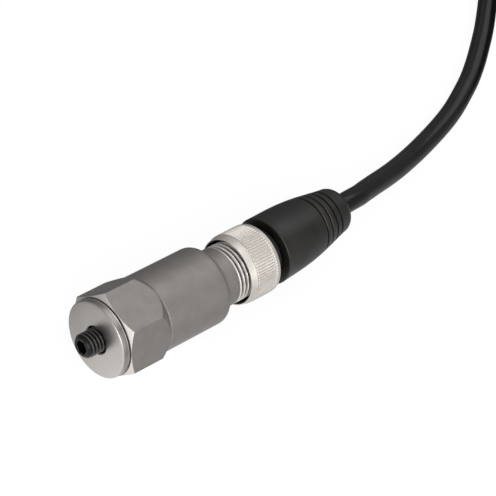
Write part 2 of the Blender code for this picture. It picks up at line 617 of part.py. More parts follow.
def press_flutes(mesh):
    """Moves every second point of the knurled band in to the flutes' root."""
    angle_step = math.pi / KNURL_FLUTES
    blank = bmesh.new()
    blank.from_mesh(mesh)
    for vertex in blank.verts:
        radius = math.hypot(vertex.co.x, vertex.co.y)
        in_band = KNURL_START + MERGE < vertex.co.z < KNURL_END - MERGE
        if in_band and radius > KNURL_ROOT_RADIUS + MERGE:
            index = round(math.atan2(vertex.co.y, vertex.co.x) / angle_step)
            if index % 2:
                vertex.co.x *= KNURL_ROOT_RADIUS / radius
                vertex.co.y *= KNURL_ROOT_RADIUS / radius
    blank.to_mesh(mesh)
    blank.free()
    mesh.shade_smooth()
    mesh.set_sharp_from_angle(angle=math.radians(30))


def make_retaining_ring(axis):
    """The open spring ring in the nut's rear groove, which keeps the nut on the plug's collar."""
    profile = [
        (RING_START + RING_THICKNESS, RING_RADIUS), (RING_START, RING_RADIUS),
        (RING_START, RING_INNER_RADIUS), (RING_START + RING_THICKNESS, RING_INNER_RADIUS),
    ]
    spring_ring = turned("retaining_ring", profile, "bright_steel", axis, steps=28)
    mesh = bpy.data.meshes.new("ring_gap_cutter")
    wedge = bmesh.new()
    bmesh.ops.create_cube(wedge, size=1.0)
    gap_width = 2 * RING_RADIUS * math.sin(RING_GAP / 2)
    bmesh.ops.scale(wedge, verts=wedge.verts, vec=(3 * RING_THICKNESS, gap_width, 2 * RING_THICKNESS + gap_width))
    wedge.to_mesh(mesh)
    wedge.free()
    cutter = add_object("ring_gap_cutter", mesh, None, axis, (RING_START + RING_THICKNESS / 2, 0.0, RING_RADIUS),
                        collection=CUTTERS)
    cutter.hide_render = True
    cutter.display_type = "WIRE"
    cut(spring_ring, cutter)
    return apply_modifiers(spring_ring)


def barrel_radius(x):
    """The overmoulding's outer radius: a parabola from its front to its end."""
    share = (x - OVERMOULD_START) / (OVERMOULD_END - OVERMOULD_START)
    return OVERMOULD_RADIUS - (OVERMOULD_RADIUS - OVERMOULD_END_RADIUS) * share * share


def make_overmould(axis):
    """The moulded grip: a tapering barrel with four ring grooves, open for the cable and the carrier."""
    recess = CABLE_RADIUS + CLEARANCE
    recess_floor = OVERMOULD_END - CABLE_RECESS_DEPTH
    bore_end = OVERMOULD_START + SPIGOT_LENGTH + CLEARANCE
    bore = SPIGOT_RADIUS + CLEARANCE
    round_start = OVERMOULD_END - OVERMOULD_END_ROUND
    profile = [(recess_floor, 0.0), (recess_floor, recess), (OVERMOULD_END, recess)]
    profile += round_corner(round_start, barrel_radius(round_start) - OVERMOULD_END_ROUND, OVERMOULD_END_ROUND,
                            0.0, math.pi / 2 * 0.9)
    for i in reversed(range(GROOVE_COUNT)):
        centre = GROOVE_START + i * GROOVE_PITCH + GROOVE_WIDTH / 2
        profile.append((centre + GROOVE_WIDTH / 2, barrel_radius(centre + GROOVE_WIDTH / 2)))
        profile.append((centre + GROOVE_WIDTH / 6, barrel_radius(centre) - GROOVE_DEPTH))
        profile.append((centre - GROOVE_WIDTH / 6, barrel_radius(centre) - GROOVE_DEPTH))
        profile.append((centre - GROOVE_WIDTH / 2, barrel_radius(centre - GROOVE_WIDTH / 2)))
    plain_steps = 4
    plain_end = OVERMOULD_START + OVERMOULD_FRONT_ROUND
    for i in range(1, plain_steps + 1):
        x = GROOVE_START + (plain_end - GROOVE_START) * i / plain_steps
        profile.append((x, barrel_radius(x)))
    profile += [
        (OVERMOULD_START, OVERMOULD_RADIUS - OVERMOULD_FRONT_ROUND), (OVERMOULD_START, bore),
        (bore_end, bore), (bore_end, 0.0),
    ]
    return apply_modifiers(turned("overmould_body", profile, "overmould", axis, start=NECK_END, steps=36, closed=False))


def smooth_points(route, spacing):
    """Points on a smooth curve through the route's points, about the given distance apart."""
    dense = []
    ends = [2 * route[0] - route[1], *route, 2 * route[-1] - route[-2]]
    for before, start, end, after in zip(ends, ends[1:], ends[2:], ends[3:]):
        for i in range(8):
            t = i / 8
            dense.append(0.5 * (2 * start + (end - before) * t + (2 * before - 5 * start + 4 * end - after) * t * t
                                + (3 * start - before - 3 * end + after) * t ** 3))
    dense.append(route[-1])
    lengths = [0.0]
    for a, b in zip(dense, dense[1:]):
        lengths.append(lengths[-1] + (b - a).length)
    count = max(2, round(lengths[-1] / spacing) + 1)
    points = []
    k = 0
    for i in range(count):
        goal = lengths[-1] * i / (count - 1)
        while k < len(lengths) - 2 and lengths[k + 1] < goal:
            k += 1
        share = (goal - lengths[k]) / (lengths[k + 1] - lengths[k])
        points.append(dense[k].lerp(dense[k + 1], share))
    return points


def tube(name, points, radius, material, resolution, parent=None):
    """A round tube along the points, as a curve with a bevel and filled caps."""
    curve = bpy.data.curves.new(name, "CURVE")
    curve.dimensions = "3D"
    curve.bevel_depth = radius
    curve.bevel_resolution = resolution
    curve.use_fill_caps = True
    spline = curve.splines.new("POLY")
    spline.points.add(len(points) - 1)
    for target, point in zip(spline.points, points):
        target.co = (*point, 1.0)
    curve.materials.append(MATERIALS[material])
    obj = bpy.data.objects.new(name, curve)
    obj.parent = parent
    PARTS.objects.link(obj)
    return obj


def coil_point(angle, radius, height):
    return Vector((COIL_CENTRE[0] + radius * math.cos(angle), COIL_CENTRE[1] + radius * math.sin(angle), height))


def make_cable():
    """The cable from the plug to the coil, its coil, the ties, and the stripped end on top of the coil."""
    spacing = 2.2 * 2 * CABLE_RADIUS
    tube("cable", smooth_points([Vector(p) for p in CABLE_ROUTE], spacing), CABLE_RADIUS, "cable_jacket", 3)
    edge = CABLE_RADIUS
    profile = [
        (COIL_TOP, COIL_INNER_RADIUS + edge), (COIL_TOP, COIL_RADIUS - edge), (COIL_TOP - edge, COIL_RADIUS),
        (COIL_BOTTOM + edge, COIL_RADIUS), (COIL_BOTTOM, COIL_RADIUS - edge), (COIL_BOTTOM, COIL_INNER_RADIUS + edge),
        (COIL_BOTTOM + edge, COIL_INNER_RADIUS), (COIL_TOP - edge, COIL_INNER_RADIUS),
    ]
    coil = turned("cable_coil", profile, "cable_jacket", None, steps=48)
    coil.location = (*COIL_CENTRE, 0.0)
    coil.rotation_euler = (0.0, 0.0, 0.0)
    apply_modifiers(coil)
    for i, angle in enumerate(TIE_ANGLES):
        make_tie(f"coil_tie_{i + 1}", angle)
    tail_height = COIL_TOP + CLEARANCE + CABLE_RADIUS
    tail_steps = 5
    tail = [coil_point(TAIL_START + (TAIL_END - TAIL_START) * i / tail_steps, TAIL_RADIUS, tail_height)
            for i in range(tail_steps + 1)]
    tube("cable_tail", tail, CABLE_RADIUS, "cable_jacket", 3)
    make_cores(tail[-1], (tail[-1] - tail[-2]).normalized())


def make_tie(name, angle):
    """A flat strap round the coil's section, as a bevelled block with a window."""
    mesh = bpy.data.meshes.new(name)
    outer = bmesh.new()
    bmesh.ops.create_cube(outer, size=1.0)
    reach = TIE_THICKNESS + CLEARANCE
    width = COIL_RADIUS - COIL_INNER_RADIUS
    height = COIL_TOP - COIL_BOTTOM
    bmesh.ops.scale(outer, verts=outer.verts, vec=(width + 2 * reach, TIE_WIDTH, height + 2 * reach))
    outer.to_mesh(mesh)
    outer.free()
    centre = coil_point(angle, (COIL_RADIUS + COIL_INNER_RADIUS) / 2, (COIL_TOP + COIL_BOTTOM) / 2)
    tie = add_object(name, mesh, "tie", None, centre, (0.0, 0.0, angle))
    window_mesh = bpy.data.meshes.new(name + "_window")
    window = bmesh.new()
    bmesh.ops.create_cube(window, size=1.0)
    bmesh.ops.scale(window, verts=window.verts,
                    vec=(width + 2 * CLEARANCE, 2 * TIE_WIDTH, height + 2 * CLEARANCE))
    window.to_mesh(window_mesh)
    window.free()
    cutter = add_object(name + "_window", window_mesh, None, None, centre, (0.0, 0.0, angle), CUTTERS)
    cutter.hide_render = True
    cutter.display_type = "WIRE"
    cut(tie, cutter)
    return apply_modifiers(tie)


def make_cores(end, direction):
    """The four insulated conductors that come out of the cable's cut end and fan out a little."""
    side = Vector((-direction.y, direction.x, 0.0))
    names = ("core_brown", "core_white", "core_blue", "core_black")
    low = COIL_TOP + CLEARANCE + CORE_RADIUS - end.z
    for i, name in enumerate(names):
        place = i - (len(names) - 1) / 2
        start = end + direction * CLEARANCE + side * place * (CORE_RADIUS * 2 + CLEARANCE / 2)
        heading = math.tan(place * CORE_FAN)
        route = []
        for share in (0.0, 0.2, 0.45, 0.7, 1.0):
            drop = low * min(1.0, share / 0.7) ** 2 * (3 - 2 * min(1.0, share / 0.7)) if share else 0.0
            along = CORE_LENGTH * share
            route.append(start + direction * along + side * heading * along * share + Vector((0.0, 0.0, drop)))
        tube(name, route, CORE_RADIUS, name, 1)


def main():
    clear_scene()
    sensor_axis = make_axis("sensor_axis", (-X_MIDDLE, 0.0, AXIS_HEIGHT))
    plug_axis = make_axis("plug_axis", (NECK_END, 0.0, 0.0), PLUG_SWING, sensor_axis)
    make_housing(sensor_axis)
    make_base_plate(sensor_axis)
    make_stud(sensor_axis)
    electrode_x, head_end = make_stack(sensor_axis)
    boards_end = make_electronics(sensor_axis, electrode_x, head_end)
    make_connector_insert(sensor_axis, boards_end)
    make_nut(sensor_axis)
    make_retaining_ring(sensor_axis)
    make_carrier(plug_axis)
    make_overmould(plug_axis)
    make_cable()


clear_scene()
PARTS = make_collection("vibration_sensor")
CUTTERS = make_collection("cutters")
MATERIALS = make_materials()
main()
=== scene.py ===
# %% [markdown]
# # An industrial vibration sensor and its cable
# The sensor is a stainless steel body that a machine carries on a short black stud. A moulded plug is
# screwed to its other end, and a black cable leaves the plug and runs along the table.
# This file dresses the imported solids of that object. It finds the camera first, then lays the cable,
# then makes the visible pieces as surfaces worked out with numpy, and last the finishes and the light. The
# black band behind the nut and the cores at the cable's end stay the CAD's own solids.

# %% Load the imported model
import json
import math

import bmesh
import bpy
import numpy as np
from mathutils import Matrix, Vector

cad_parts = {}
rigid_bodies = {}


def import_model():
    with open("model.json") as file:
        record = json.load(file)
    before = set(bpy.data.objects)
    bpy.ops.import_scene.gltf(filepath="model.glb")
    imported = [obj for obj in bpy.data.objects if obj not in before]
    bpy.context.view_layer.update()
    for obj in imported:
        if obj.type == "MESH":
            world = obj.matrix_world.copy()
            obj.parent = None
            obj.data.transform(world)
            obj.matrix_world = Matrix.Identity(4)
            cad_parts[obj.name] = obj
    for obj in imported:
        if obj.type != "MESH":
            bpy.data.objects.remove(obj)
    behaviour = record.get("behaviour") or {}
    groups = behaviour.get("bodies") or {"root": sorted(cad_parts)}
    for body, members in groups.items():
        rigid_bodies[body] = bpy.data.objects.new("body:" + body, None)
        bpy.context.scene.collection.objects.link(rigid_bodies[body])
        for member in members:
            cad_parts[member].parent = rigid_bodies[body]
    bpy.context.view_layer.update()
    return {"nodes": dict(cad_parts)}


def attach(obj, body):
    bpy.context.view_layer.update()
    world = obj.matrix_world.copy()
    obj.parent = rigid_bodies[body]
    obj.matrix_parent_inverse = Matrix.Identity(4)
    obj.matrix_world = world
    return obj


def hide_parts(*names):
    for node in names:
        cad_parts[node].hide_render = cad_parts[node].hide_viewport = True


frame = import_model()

MM = 0.001

# %% [markdown]
# ## Two axes
# Every round piece here is turned about one of two axes. The sensor's axis runs level along +X, 8 mm above
# the table, because the sensor rests on one flat of its 16 mm hexagon. The plug hangs a little askew in its
# nut, so its own axis swings sideways by nearly 3 degrees from the end of the threaded neck.
# A place on a piece is given by s, the distance in mm along the axis from a zero plane 0.4 mm behind the
# seating face, by a radius r in mm and by an angle phi round the axis. One function turns those three arrays
# into points in metres.

# %% Points about an axis
SEAT_X = -30.79            # x in mm of the zero plane, which puts the origin near the middle of sensor and plug
AXIS_Z = 8.0
NECK_END, PLUG_END = 37.0, 65.4
PLUG_SWING = math.radians(2.87)


def about_axis(s, r, phi, swing=0.0):
    """Points at distance s along the axis and r out from it, at angle phi from +Y towards +Z.

    In words: go s along, r sideways at that angle, then turn about the vertical through the neck's end.
    """
    s, r, phi = np.broadcast_arrays(np.asarray(s, float), np.asarray(r, float), np.asarray(phi, float))
    along = s - NECK_END
    across = r * np.cos(phi)
    x = along * math.cos(swing) - across * math.sin(swing)
    y = along * math.sin(swing) + across * math.cos(swing)
    z = r * np.sin(phi) + AXIS_Z
    return np.stack([x + NECK_END + SEAT_X, y, z], axis=-1) * MM


print("The plug's end lies at", np.round(about_axis(PLUG_END, 0.0, 0.0, PLUG_SWING) / MM, 2), "mm")

# %% [markdown]
# ## From a grid of points to a mesh
# A turned piece is a grid: one direction runs along its section, the other round its axis. Both directions
# can close on themselves, as they do on a ring. foreach_set takes whole arrays, which is quick and leaves no
# Python loop over points. The sign of the enclosed volume says whether the faces point outwards, so the
# helper can turn them round when a section was drawn the other way.

# %% Grid to mesh
def grid_mesh(name, points, closed_section=False, merge=False, sharp=30.0):
    """A mesh from an array of points (rows, columns, 3). Columns always close round the axis."""
    rows, columns = points.shape[:2]
    index = np.arange(rows * columns).reshape(rows, columns)
    if closed_section:
        index = np.vstack([index, index[:1]])
    index = np.hstack([index, index[:, :1]])
    quads = np.stack([index[:-1, :-1], index[:-1, 1:], index[1:, 1:], index[1:, :-1]], axis=-1).reshape(-1, 4)
    flat = points.reshape(-1, 3)
    middle = flat.mean(axis=0)
    a, b, c, d = (flat[quads[:, i]] - middle for i in range(4))
    volume = (np.cross(a, b) * c).sum() + (np.cross(a, c) * d).sum()
    if volume < 0:
        quads = quads[:, ::-1]
    mesh = bpy.data.meshes.new(name)
    mesh.vertices.add(len(flat))
    mesh.vertices.foreach_set("co", flat.astype(np.float32).ravel())
    mesh.loops.add(quads.size)
    mesh.loops.foreach_set("vertex_index", quads.astype(np.int32).ravel())
    mesh.polygons.add(len(quads))
    mesh.polygons.foreach_set("loop_start", np.arange(0, quads.size, 4, dtype=np.int32))
    mesh.update(calc_edges=True)
    mesh.validate()
    if merge:
        joined = bmesh.new()
        joined.from_mesh(mesh)
        bmesh.ops.remove_doubles(joined, verts=joined.verts, dist=1e-7)
        joined.to_mesh(mesh)
        joined.free()
    mesh.shade_smooth()
    mesh.set_sharp_from_angle(angle=math.radians(sharp))
    piece = bpy.data.objects.new(name, mesh)
    bpy.context.scene.collection.objects.link(piece)
    return piece


def turned(name, rows, phi, swing=0.0, **grid):
    """A piece from rows of (s, r) over phi: each row is one place on the section, carried round the axis."""
    return grid_mesh(name, about_axis(rows[..., 0], rows[..., 1], phi[None, :], swing), **grid)


# %% [markdown]
# ## Camera
# The photograph looks down on the seating face from the front left, with a long lens. The camera's place was
# fitted to the ellipses of the turned edges, the straight outlines and the hexagon's corners. The photograph
# doesn't settle the focal length: 2200 pixels is one of several that fit. Two directions are given below, the
# way that the camera looks and the picture's up, and the third follows from them.

# %% Camera
CAMERA_PLACE = (-248.02, -104.05, 335.79)     # mm
LOOK = Vector((0.5997, 0.2473, -0.7611))
PICTURE_UP = Vector((0.3644, 0.7623, 0.5349))
FOCAL_PIXELS = 2200.0
PICTURE_PIXELS = 496.0
SENSOR_WIDTH = 36.0


def camera_matrix(place_mm, look, up):
    """The camera's own axes as columns: right, up and backwards, with its place in metres."""
    back = -look.normalized()
    right = up.cross(back).normalized()
    true_up = back.cross(right)
    turn = Matrix((right, true_up, back)).transposed().to_4x4()
    return Matrix.Translation(Vector(place_mm) * MM) @ turn


camera_data = bpy.data.cameras.new("camera")
camera_data.sensor_width = SENSOR_WIDTH
camera_data.lens = FOCAL_PIXELS / PICTURE_PIXELS * SENSOR_WIDTH
camera_data.clip_start = 0.01
camera_data.clip_end = 20.0
camera = bpy.data.objects.new("camera", camera_data)
camera.matrix_world = camera_matrix(CAMERA_PLACE, LOOK, PICTURE_UP)
bpy.context.scene.collection.objects.link(camera)
bpy.context.scene.camera = camera
print("Lens in mm:", round(camera_data.lens, 1))

# %% [markdown]
# ## Cable
# Such a plug comes with about 2 m of cable. It is drawn 4.5 mm thick, and the photograph's is a tenth thicker.
# The photograph shows its first stretch: straight out of the plug, down on to the table and away in a widening
# bend. The rest is wound into a neat round coil just outside the picture, three turns wide and four high. One
# curve passes through the listed points of the visible stretch and then follows a rule for the coil, so that
# turns lie a diameter apart and never cross.

# %% The cable's route
CABLE_RADIUS = 2.25
ROUTE_MM = np.array([
    (32.95, 1.34, 8.0), (36.8, 1.55, 8.0), (39.2, 1.7, 7.8),
    (41.8, 1.9, 7.4), (44.3, 2.3, 6.9), (48.3, 2.9, 6.1),
    (52.6, 3.5, 5.2), (56.9, 4.2, 4.4), (61.4, 5.1, 3.6),
    (65.9, 6.1, 3.0), (70.4, 7.2, 2.6), (74.9, 8.4, 2.4),
    (79.6, 9.8, 2.3), (84.0, 11.4, 2.3), (89.1, 13.7, 2.3),
    (93.5, 15.9, 2.3), (98.0, 18.6, 2.3), (102.4, 21.6, 2.3),
    (107.1, 25.0, 2.3), (112.1, 29.1, 2.3), (117.0, 33.4, 2.3),
    (121.2, 37.2, 2.3), (125.4, 41.0, 2.3), (129.6, 44.8, 2.3),
])
COIL_CENTRE = np.array([152.4, 19.5])
COIL_INNER, COIL_COLUMNS, COIL_LAYERS, COIL_BOTTOM = 18.0, 3, 4, 1.0
TURN = math.radians(340)        # how far a turn goes before the next one starts, so that steps never meet
STEP = math.radians(20)
TAIL_RADIUS, TAIL_HEIGHT, TAIL_START, TAIL_END = 24.75, 21.55, math.radians(140), math.radians(85)
FIRST_SAMPLE, SAMPLE_STEP = math.radians(4), math.radians(7.5)
RUN_IN = math.radians(60)       # how far the route takes to reach the first turn's radius and height
LAST_TURN = math.radians(190)   # the tail starts no more than one STEP before the last turn has gone this far
CLIMB = math.radians(35)        # how far the route takes to rise from the last turn to the tail


def smooth_step(t):
    """0 before 0, 1 after 1, and 3t2 - 2t3 between: it leaves and arrives level."""
    t = np.clip(t, 0.0, 1.0)
    return t * t * (3 - 2 * t)


def through_points(points, steps=6):
    """A smooth curve through the points: on each stretch a cubic whose ends lean towards their neighbours."""
    ends = np.vstack([2 * points[0] - points[1], points, 2 * points[-1] - points[-2]])
    before, start, end, after = ends[:-3, None], ends[1:-2, None], ends[2:-1, None], ends[3:, None]
    t = (np.arange(steps) / steps)[None, :, None]
    curve = 0.5 * (2 * start + (end - before) * t + (2 * before - 5 * start + 4 * end - after) * t ** 2
                   + (3 * start - before - 3 * end + after) * t ** 3)
    return np.vstack([curve.reshape(-1, 3), points[-1:]])


def coil_places():
    """Radius and height of each turn: across the first layer inwards, up, and back outwards."""
    radii = COIL_INNER + CABLE_RADIUS * (1 + 2 * np.arange(COIL_COLUMNS))
    places = []
    for layer in range(COIL_LAYERS):
        order = radii[::-1] if layer % 2 == 0 else radii
        places += [(radius, COIL_BOTTOM + CABLE_RADIUS * (1 + 2 * layer)) for radius in order]
    return np.array(places)


def coil_route(start):
    """The coil as radius and height against the angle gone round, each a sum of smooth steps."""
    places = coil_places()
    offset = start[:2] - COIL_CENTRE
    first_angle = math.atan2(offset[1], offset[0])
    last_turn_end = (len(places) - 1) * TURN + LAST_TURN
    gone_at_tail = first_angle - TAIL_START
    while gone_at_tail < last_turn_end - STEP:
        gone_at_tail += 2 * math.pi
    gone_end = gone_at_tail + TAIL_START - TAIL_END
    gone = np.arange(FIRST_SAMPLE, gone_end, SAMPLE_STEP)
    gone = np.append(gone, gone_end)
    radius = np.full_like(gone, np.hypot(*offset))
    height = np.full_like(gone, start[2])
    share = smooth_step(gone / RUN_IN)
    radius += (places[0, 0] - radius[0]) * share
    height += (places[0, 1] - height[0]) * share
    for k in range(1, len(places)):
        share = smooth_step((gone - k * TURN) / STEP)
        radius += (places[k, 0] - places[k - 1, 0]) * share
        height += (places[k, 1] - places[k - 1, 1]) * share
    climb = smooth_step((gone - gone_at_tail + CLIMB) / CLIMB)
    radius += (TAIL_RADIUS - places[-1, 0]) * climb
    height += (TAIL_HEIGHT - places[-1, 1]) * climb
    angle = first_angle - gone
    return np.stack([COIL_CENTRE[0] + radius * np.cos(angle), COIL_CENTRE[1] + radius * np.sin(angle), height], -1)


cable_path = np.vstack([through_points(ROUTE_MM), coil_route(ROUTE_MM[-1])]) * MM

# %% [markdown]
# ## A tube along a path
# A cord is its section carried along its route. At every point the section stands across the route, and
# because this cable never stands upright, the vertical can serve as the guide that keeps it from twisting.
# Two more rows at each end, a ring and a point in the plane of the last circle, close it with a flat face.

# %% Tube
TUBE_SIDES = 24
CAP_SHARE = 0.93           # radius of the circle on the closed end, as a share of the full one


def tube_points(path, radius, sides):
    """Circles across the path: centre + radius * (cos a * sideways + sin a * upwards), with flat closed ends."""
    ahead = np.gradient(path, axis=0)
    ahead /= np.linalg.norm(ahead, axis=1)[:, None]
    sideways = np.cross(ahead, [0.0, 0.0, 1.0])
    sideways /= np.linalg.norm(sideways, axis=1)[:, None]
    upwards = np.cross(sideways, ahead)
    angle = np.linspace(0, 2 * math.pi, sides, endpoint=False)
    across = (np.cos(angle)[None, :, None] * sideways[:, None] + np.sin(angle)[None, :, None] * upwards[:, None])
    body = path[:, None] + radius * across
    first, last = path[:1, None], path[-1:, None]
    cap_start = np.concatenate([first + 0 * across[:1], first + CAP_SHARE * radius * across[:1]])
    cap_end = np.concatenate([last + CAP_SHARE * radius * across[-1:], last + 0 * across[-1:]])
    return np.concatenate([cap_start, body, cap_end])


cable = grid_mesh("cable_lay", tube_points(cable_path, CABLE_RADIUS * MM, TUBE_SIDES), merge=True, sharp=40)
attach(cable, "sensor_and_plug")
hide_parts("cable", "cable_coil", "cable_tail")

# %% [markdown]
# ## Ties and stripped end
# Two moulded straps hold the coil. A strap follows the outline of the bundle of turns: a box whose corners are
# quarter circles. The cable's far end is bare: the jacket stops and four coloured cores come out.

# %% Ties
TIE_WIDTH, TIE_THICKNESS = 3.5, 0.7
TIE_GAP, TIE_BEVEL = 0.3, 0.15   # room between bundle and strap, and how far its outer edges are drawn in
COIL_WIDTH = 2 * CABLE_RADIUS * COIL_COLUMNS
COIL_HEIGHT = 2 * CABLE_RADIUS * COIL_LAYERS
TIE_ANGLES = {"coil_tie_1": math.radians(20), "coil_tie_2": math.radians(250)}


def strap_outline(grow, count=96):
    """The bundle's outline grown by a distance: a box whose corners are circles, as (across, up) in mm."""
    corner = CABLE_RADIUS + grow
    angle = np.linspace(0, 2 * math.pi, count, endpoint=False) + math.pi / count
    half_width = COIL_WIDTH / 2 - CABLE_RADIUS
    half_height = COIL_HEIGHT / 2 - CABLE_RADIUS
    across = half_width * np.sign(np.cos(angle)) + corner * np.cos(angle)
    up = half_height * np.sign(np.sin(angle)) + corner * np.sin(angle)
    return across, up


def strap(name, angle):
    """A band of TIE_WIDTH round the bundle: inner and outer outline, each carried to both edges."""
    middle = COIL_INNER + COIL_WIDTH / 2
    rows = []
    for grow, side in ((TIE_GAP, -1), (TIE_GAP, 1), (TIE_GAP + TIE_THICKNESS, 1), (TIE_GAP + TIE_THICKNESS, -1)):
        across, up = strap_outline(grow)
        reach = middle + across
        edge = side * (TIE_WIDTH / 2 - (TIE_BEVEL if grow > TIE_GAP else 0.0))
        x = COIL_CENTRE[0] + reach * math.cos(angle) - edge * math.sin(angle)
        y = COIL_CENTRE[1] + reach * math.sin(angle) + edge * math.cos(angle)
        rows.append(np.stack([x, y, COIL_BOTTOM + COIL_HEIGHT / 2 + up], -1))
    return grid_mesh(name, np.array(rows) * MM, closed_section=True)


ties = {}
for node_name, tie_angle in TIE_ANGLES.items():
    ties[node_name] = strap(node_name + "_strap", tie_angle)
    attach(ties[node_name], "sensor_and_plug")
    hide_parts(node_name)

# %% [markdown]
# ## Sections with rounded corners
# A machined edge is never perfectly sharp: a tenth of a millimetre of rounding catches the light and is what
# makes an edge read as metal. A section here is a list of corners, each with its own rounding. Every corner
# is replaced by a short curve that starts and ends that far from it. The corners may differ round the axis,
# as they do where a cone meets a hexagon, so each one is an array over phi and all of it is worked out at once.

# %% Rounded sections
LONGEST_EASE = 0.45        # of the way to the next corner, so that two roundings never meet


def section(corners, columns, closed=True, bends=3):
    """Rows of (s, r) over phi. A rounded corner becomes a curve that blends its two neighbours' directions.

    In words: from e before the corner to e after it, (1-t)2 * start + 2t(1-t) * corner + t2 * end.
    """
    places = [np.stack(np.broadcast_arrays(np.asarray(c[0], float), np.asarray(c[1], float), np.zeros(columns)), -1)
              [:, :2] for c in corners]
    rows = []
    count = len(corners)
    for i, corner in enumerate(corners):
        ease = corner[2] if len(corner) > 2 else 0.0
        here = places[i]
        if not ease or (not closed and i in (0, count - 1)):
            rows.append(here)
            continue
        back = places[i - 1] - here
        on = places[(i + 1) % count] - here
        back_length = np.linalg.norm(back, axis=1)[:, None]
        on_length = np.linalg.norm(on, axis=1)[:, None]
        start = here + back / back_length * np.minimum(ease, back_length * LONGEST_EASE)
        end = here + on / on_length * np.minimum(ease, on_length * LONGEST_EASE)
        for t in np.linspace(0, 1, bends + 1):
            rows.append((1 - t) ** 2 * start + 2 * t * (1 - t) * here + t ** 2 * end)
    return np.array(rows)


def between(a, b, count):
    """Corners spaced evenly from a to b, both left out, to give a long face its own rows."""
    share = np.linspace(0, 1, count + 2)[1:-1]
    return [(a[0] + (b[0] - a[0]) * t, a[1] + (b[1] - a[1]) * t) for t in share]


def arc(centre_s, centre_r, radius, angle_from, angle_to, count=8):
    """Corners on a circle in the section, by angle in degrees from +s towards +r."""
    angle = np.radians(np.linspace(angle_from, angle_to, count))
    return [(centre_s + radius * math.cos(a), centre_r + radius * math.sin(a)) for a in angle]


# %% [markdown]
# ## Screw threads
# A thread is a groove wound round a cylinder. Cut along the axis it is a row of V shapes one pitch apart, and
# the pattern slides along by one pitch in a turn, so its height depends only on s / pitch - phi / 360 degrees.
# That makes it a function on the same grid: no helix has to be swept, and it joins the plain shank smoothly.

# %% Thread
def thread_height(s, phi, pitch, crest=0.16, root=0.3):
    """From 0 in the root to 1 on the crest: a triangle wave of s/pitch - phi/(2 pi), cut off flat at both ends."""
    wave = np.abs(2 * ((s / pitch - phi / (2 * math.pi)) % 1.0) - 1)
    return np.clip((wave - root) / (1 - crest - root), 0.0, 1.0)


# %% [markdown]
# ## Sensor body
# Hexagon, round body and threaded neck are one piece of stainless steel. It was turned first and its six
# flats were milled afterwards, so its radius at any place is the smaller of two: that of the turned profile
# and that of the hexagon. Where the two meet, on the chamfered front and on the long cone behind the flats,
# the border is a curve, and the grid's rows follow it exactly. The columns bunch up at the six corners, where
# a small round takes the sharpness off.

# %% Hexagon and columns
HEX_APOTHEM = 8.0
CORNER_ROUND = 0.14


def body_columns():
    """Angles round the body: even steps, with fine ones beside each of the six corners."""
    fine = np.array([-1.6, -1.0, -0.6, -0.3, 0.0, 0.3, 0.6, 1.0, 1.6])
    even = np.arange(4, 57, 2.0)
    one = np.concatenate([fine, even])
    return np.radians(np.sort(np.concatenate([(one + 60 * k) % 360 for k in range(6)])))


def hexagon_radius(phi):
    """Distance from the axis to the flats, apothem / cos(angle from the flat's middle), round at the corners."""
    from_corner = np.abs((phi + math.pi / 6) % (math.pi / 3) - math.pi / 6)
    flat = HEX_APOTHEM / np.cos(math.pi / 6 - from_corner)
    centre = (HEX_APOTHEM - CORNER_ROUND) / math.cos(math.pi / 6)
    reach = centre * np.sin(from_corner)
    inside = np.clip(CORNER_ROUND ** 2 - reach ** 2, 0, None)
    rounded = centre * np.cos(from_corner) + np.sqrt(inside)
    tangent_angle = math.pi / 6 - math.atan2((HEX_APOTHEM - CORNER_ROUND) * math.tan(math.pi / 6), HEX_APOTHEM)
    return np.where(from_corner < tangent_angle, rounded, flat)


phi_body = body_columns()
hex_radius = hexagon_radius(phi_body)
print("Hexagon: %.2f mm across flats, %.2f mm across corners" % (2 * hex_radius.min(), 2 * hex_radius.max()))

# %% Sensor body
HEX_START, HEX_END, FACE_RADIUS = 1.3, 9.1, 7.98
CORNER_RADIUS = 9.238
FRONT_SLOPE = math.tan(math.radians(30))
REAR_SLOPE = math.tan(math.radians(31))
CREASE_RADIUS, CREASE_WIDTH = 7.88, 0.22
BODY_RADIUS, ROUND_START, BODY_ROUND, BODY_END = 8.0, 25.8, 1.6, 27.4
NECK_RADIUS, NECK_FILLET = 6.0, 0.3
THREAD_FROM, THREAD_TO, THREAD_PITCH, THREAD_DEPTH = 31.0, 36.5, 1.0, 0.5
THREAD_RUN_IN, THREAD_STEP = 0.4, 0.0625


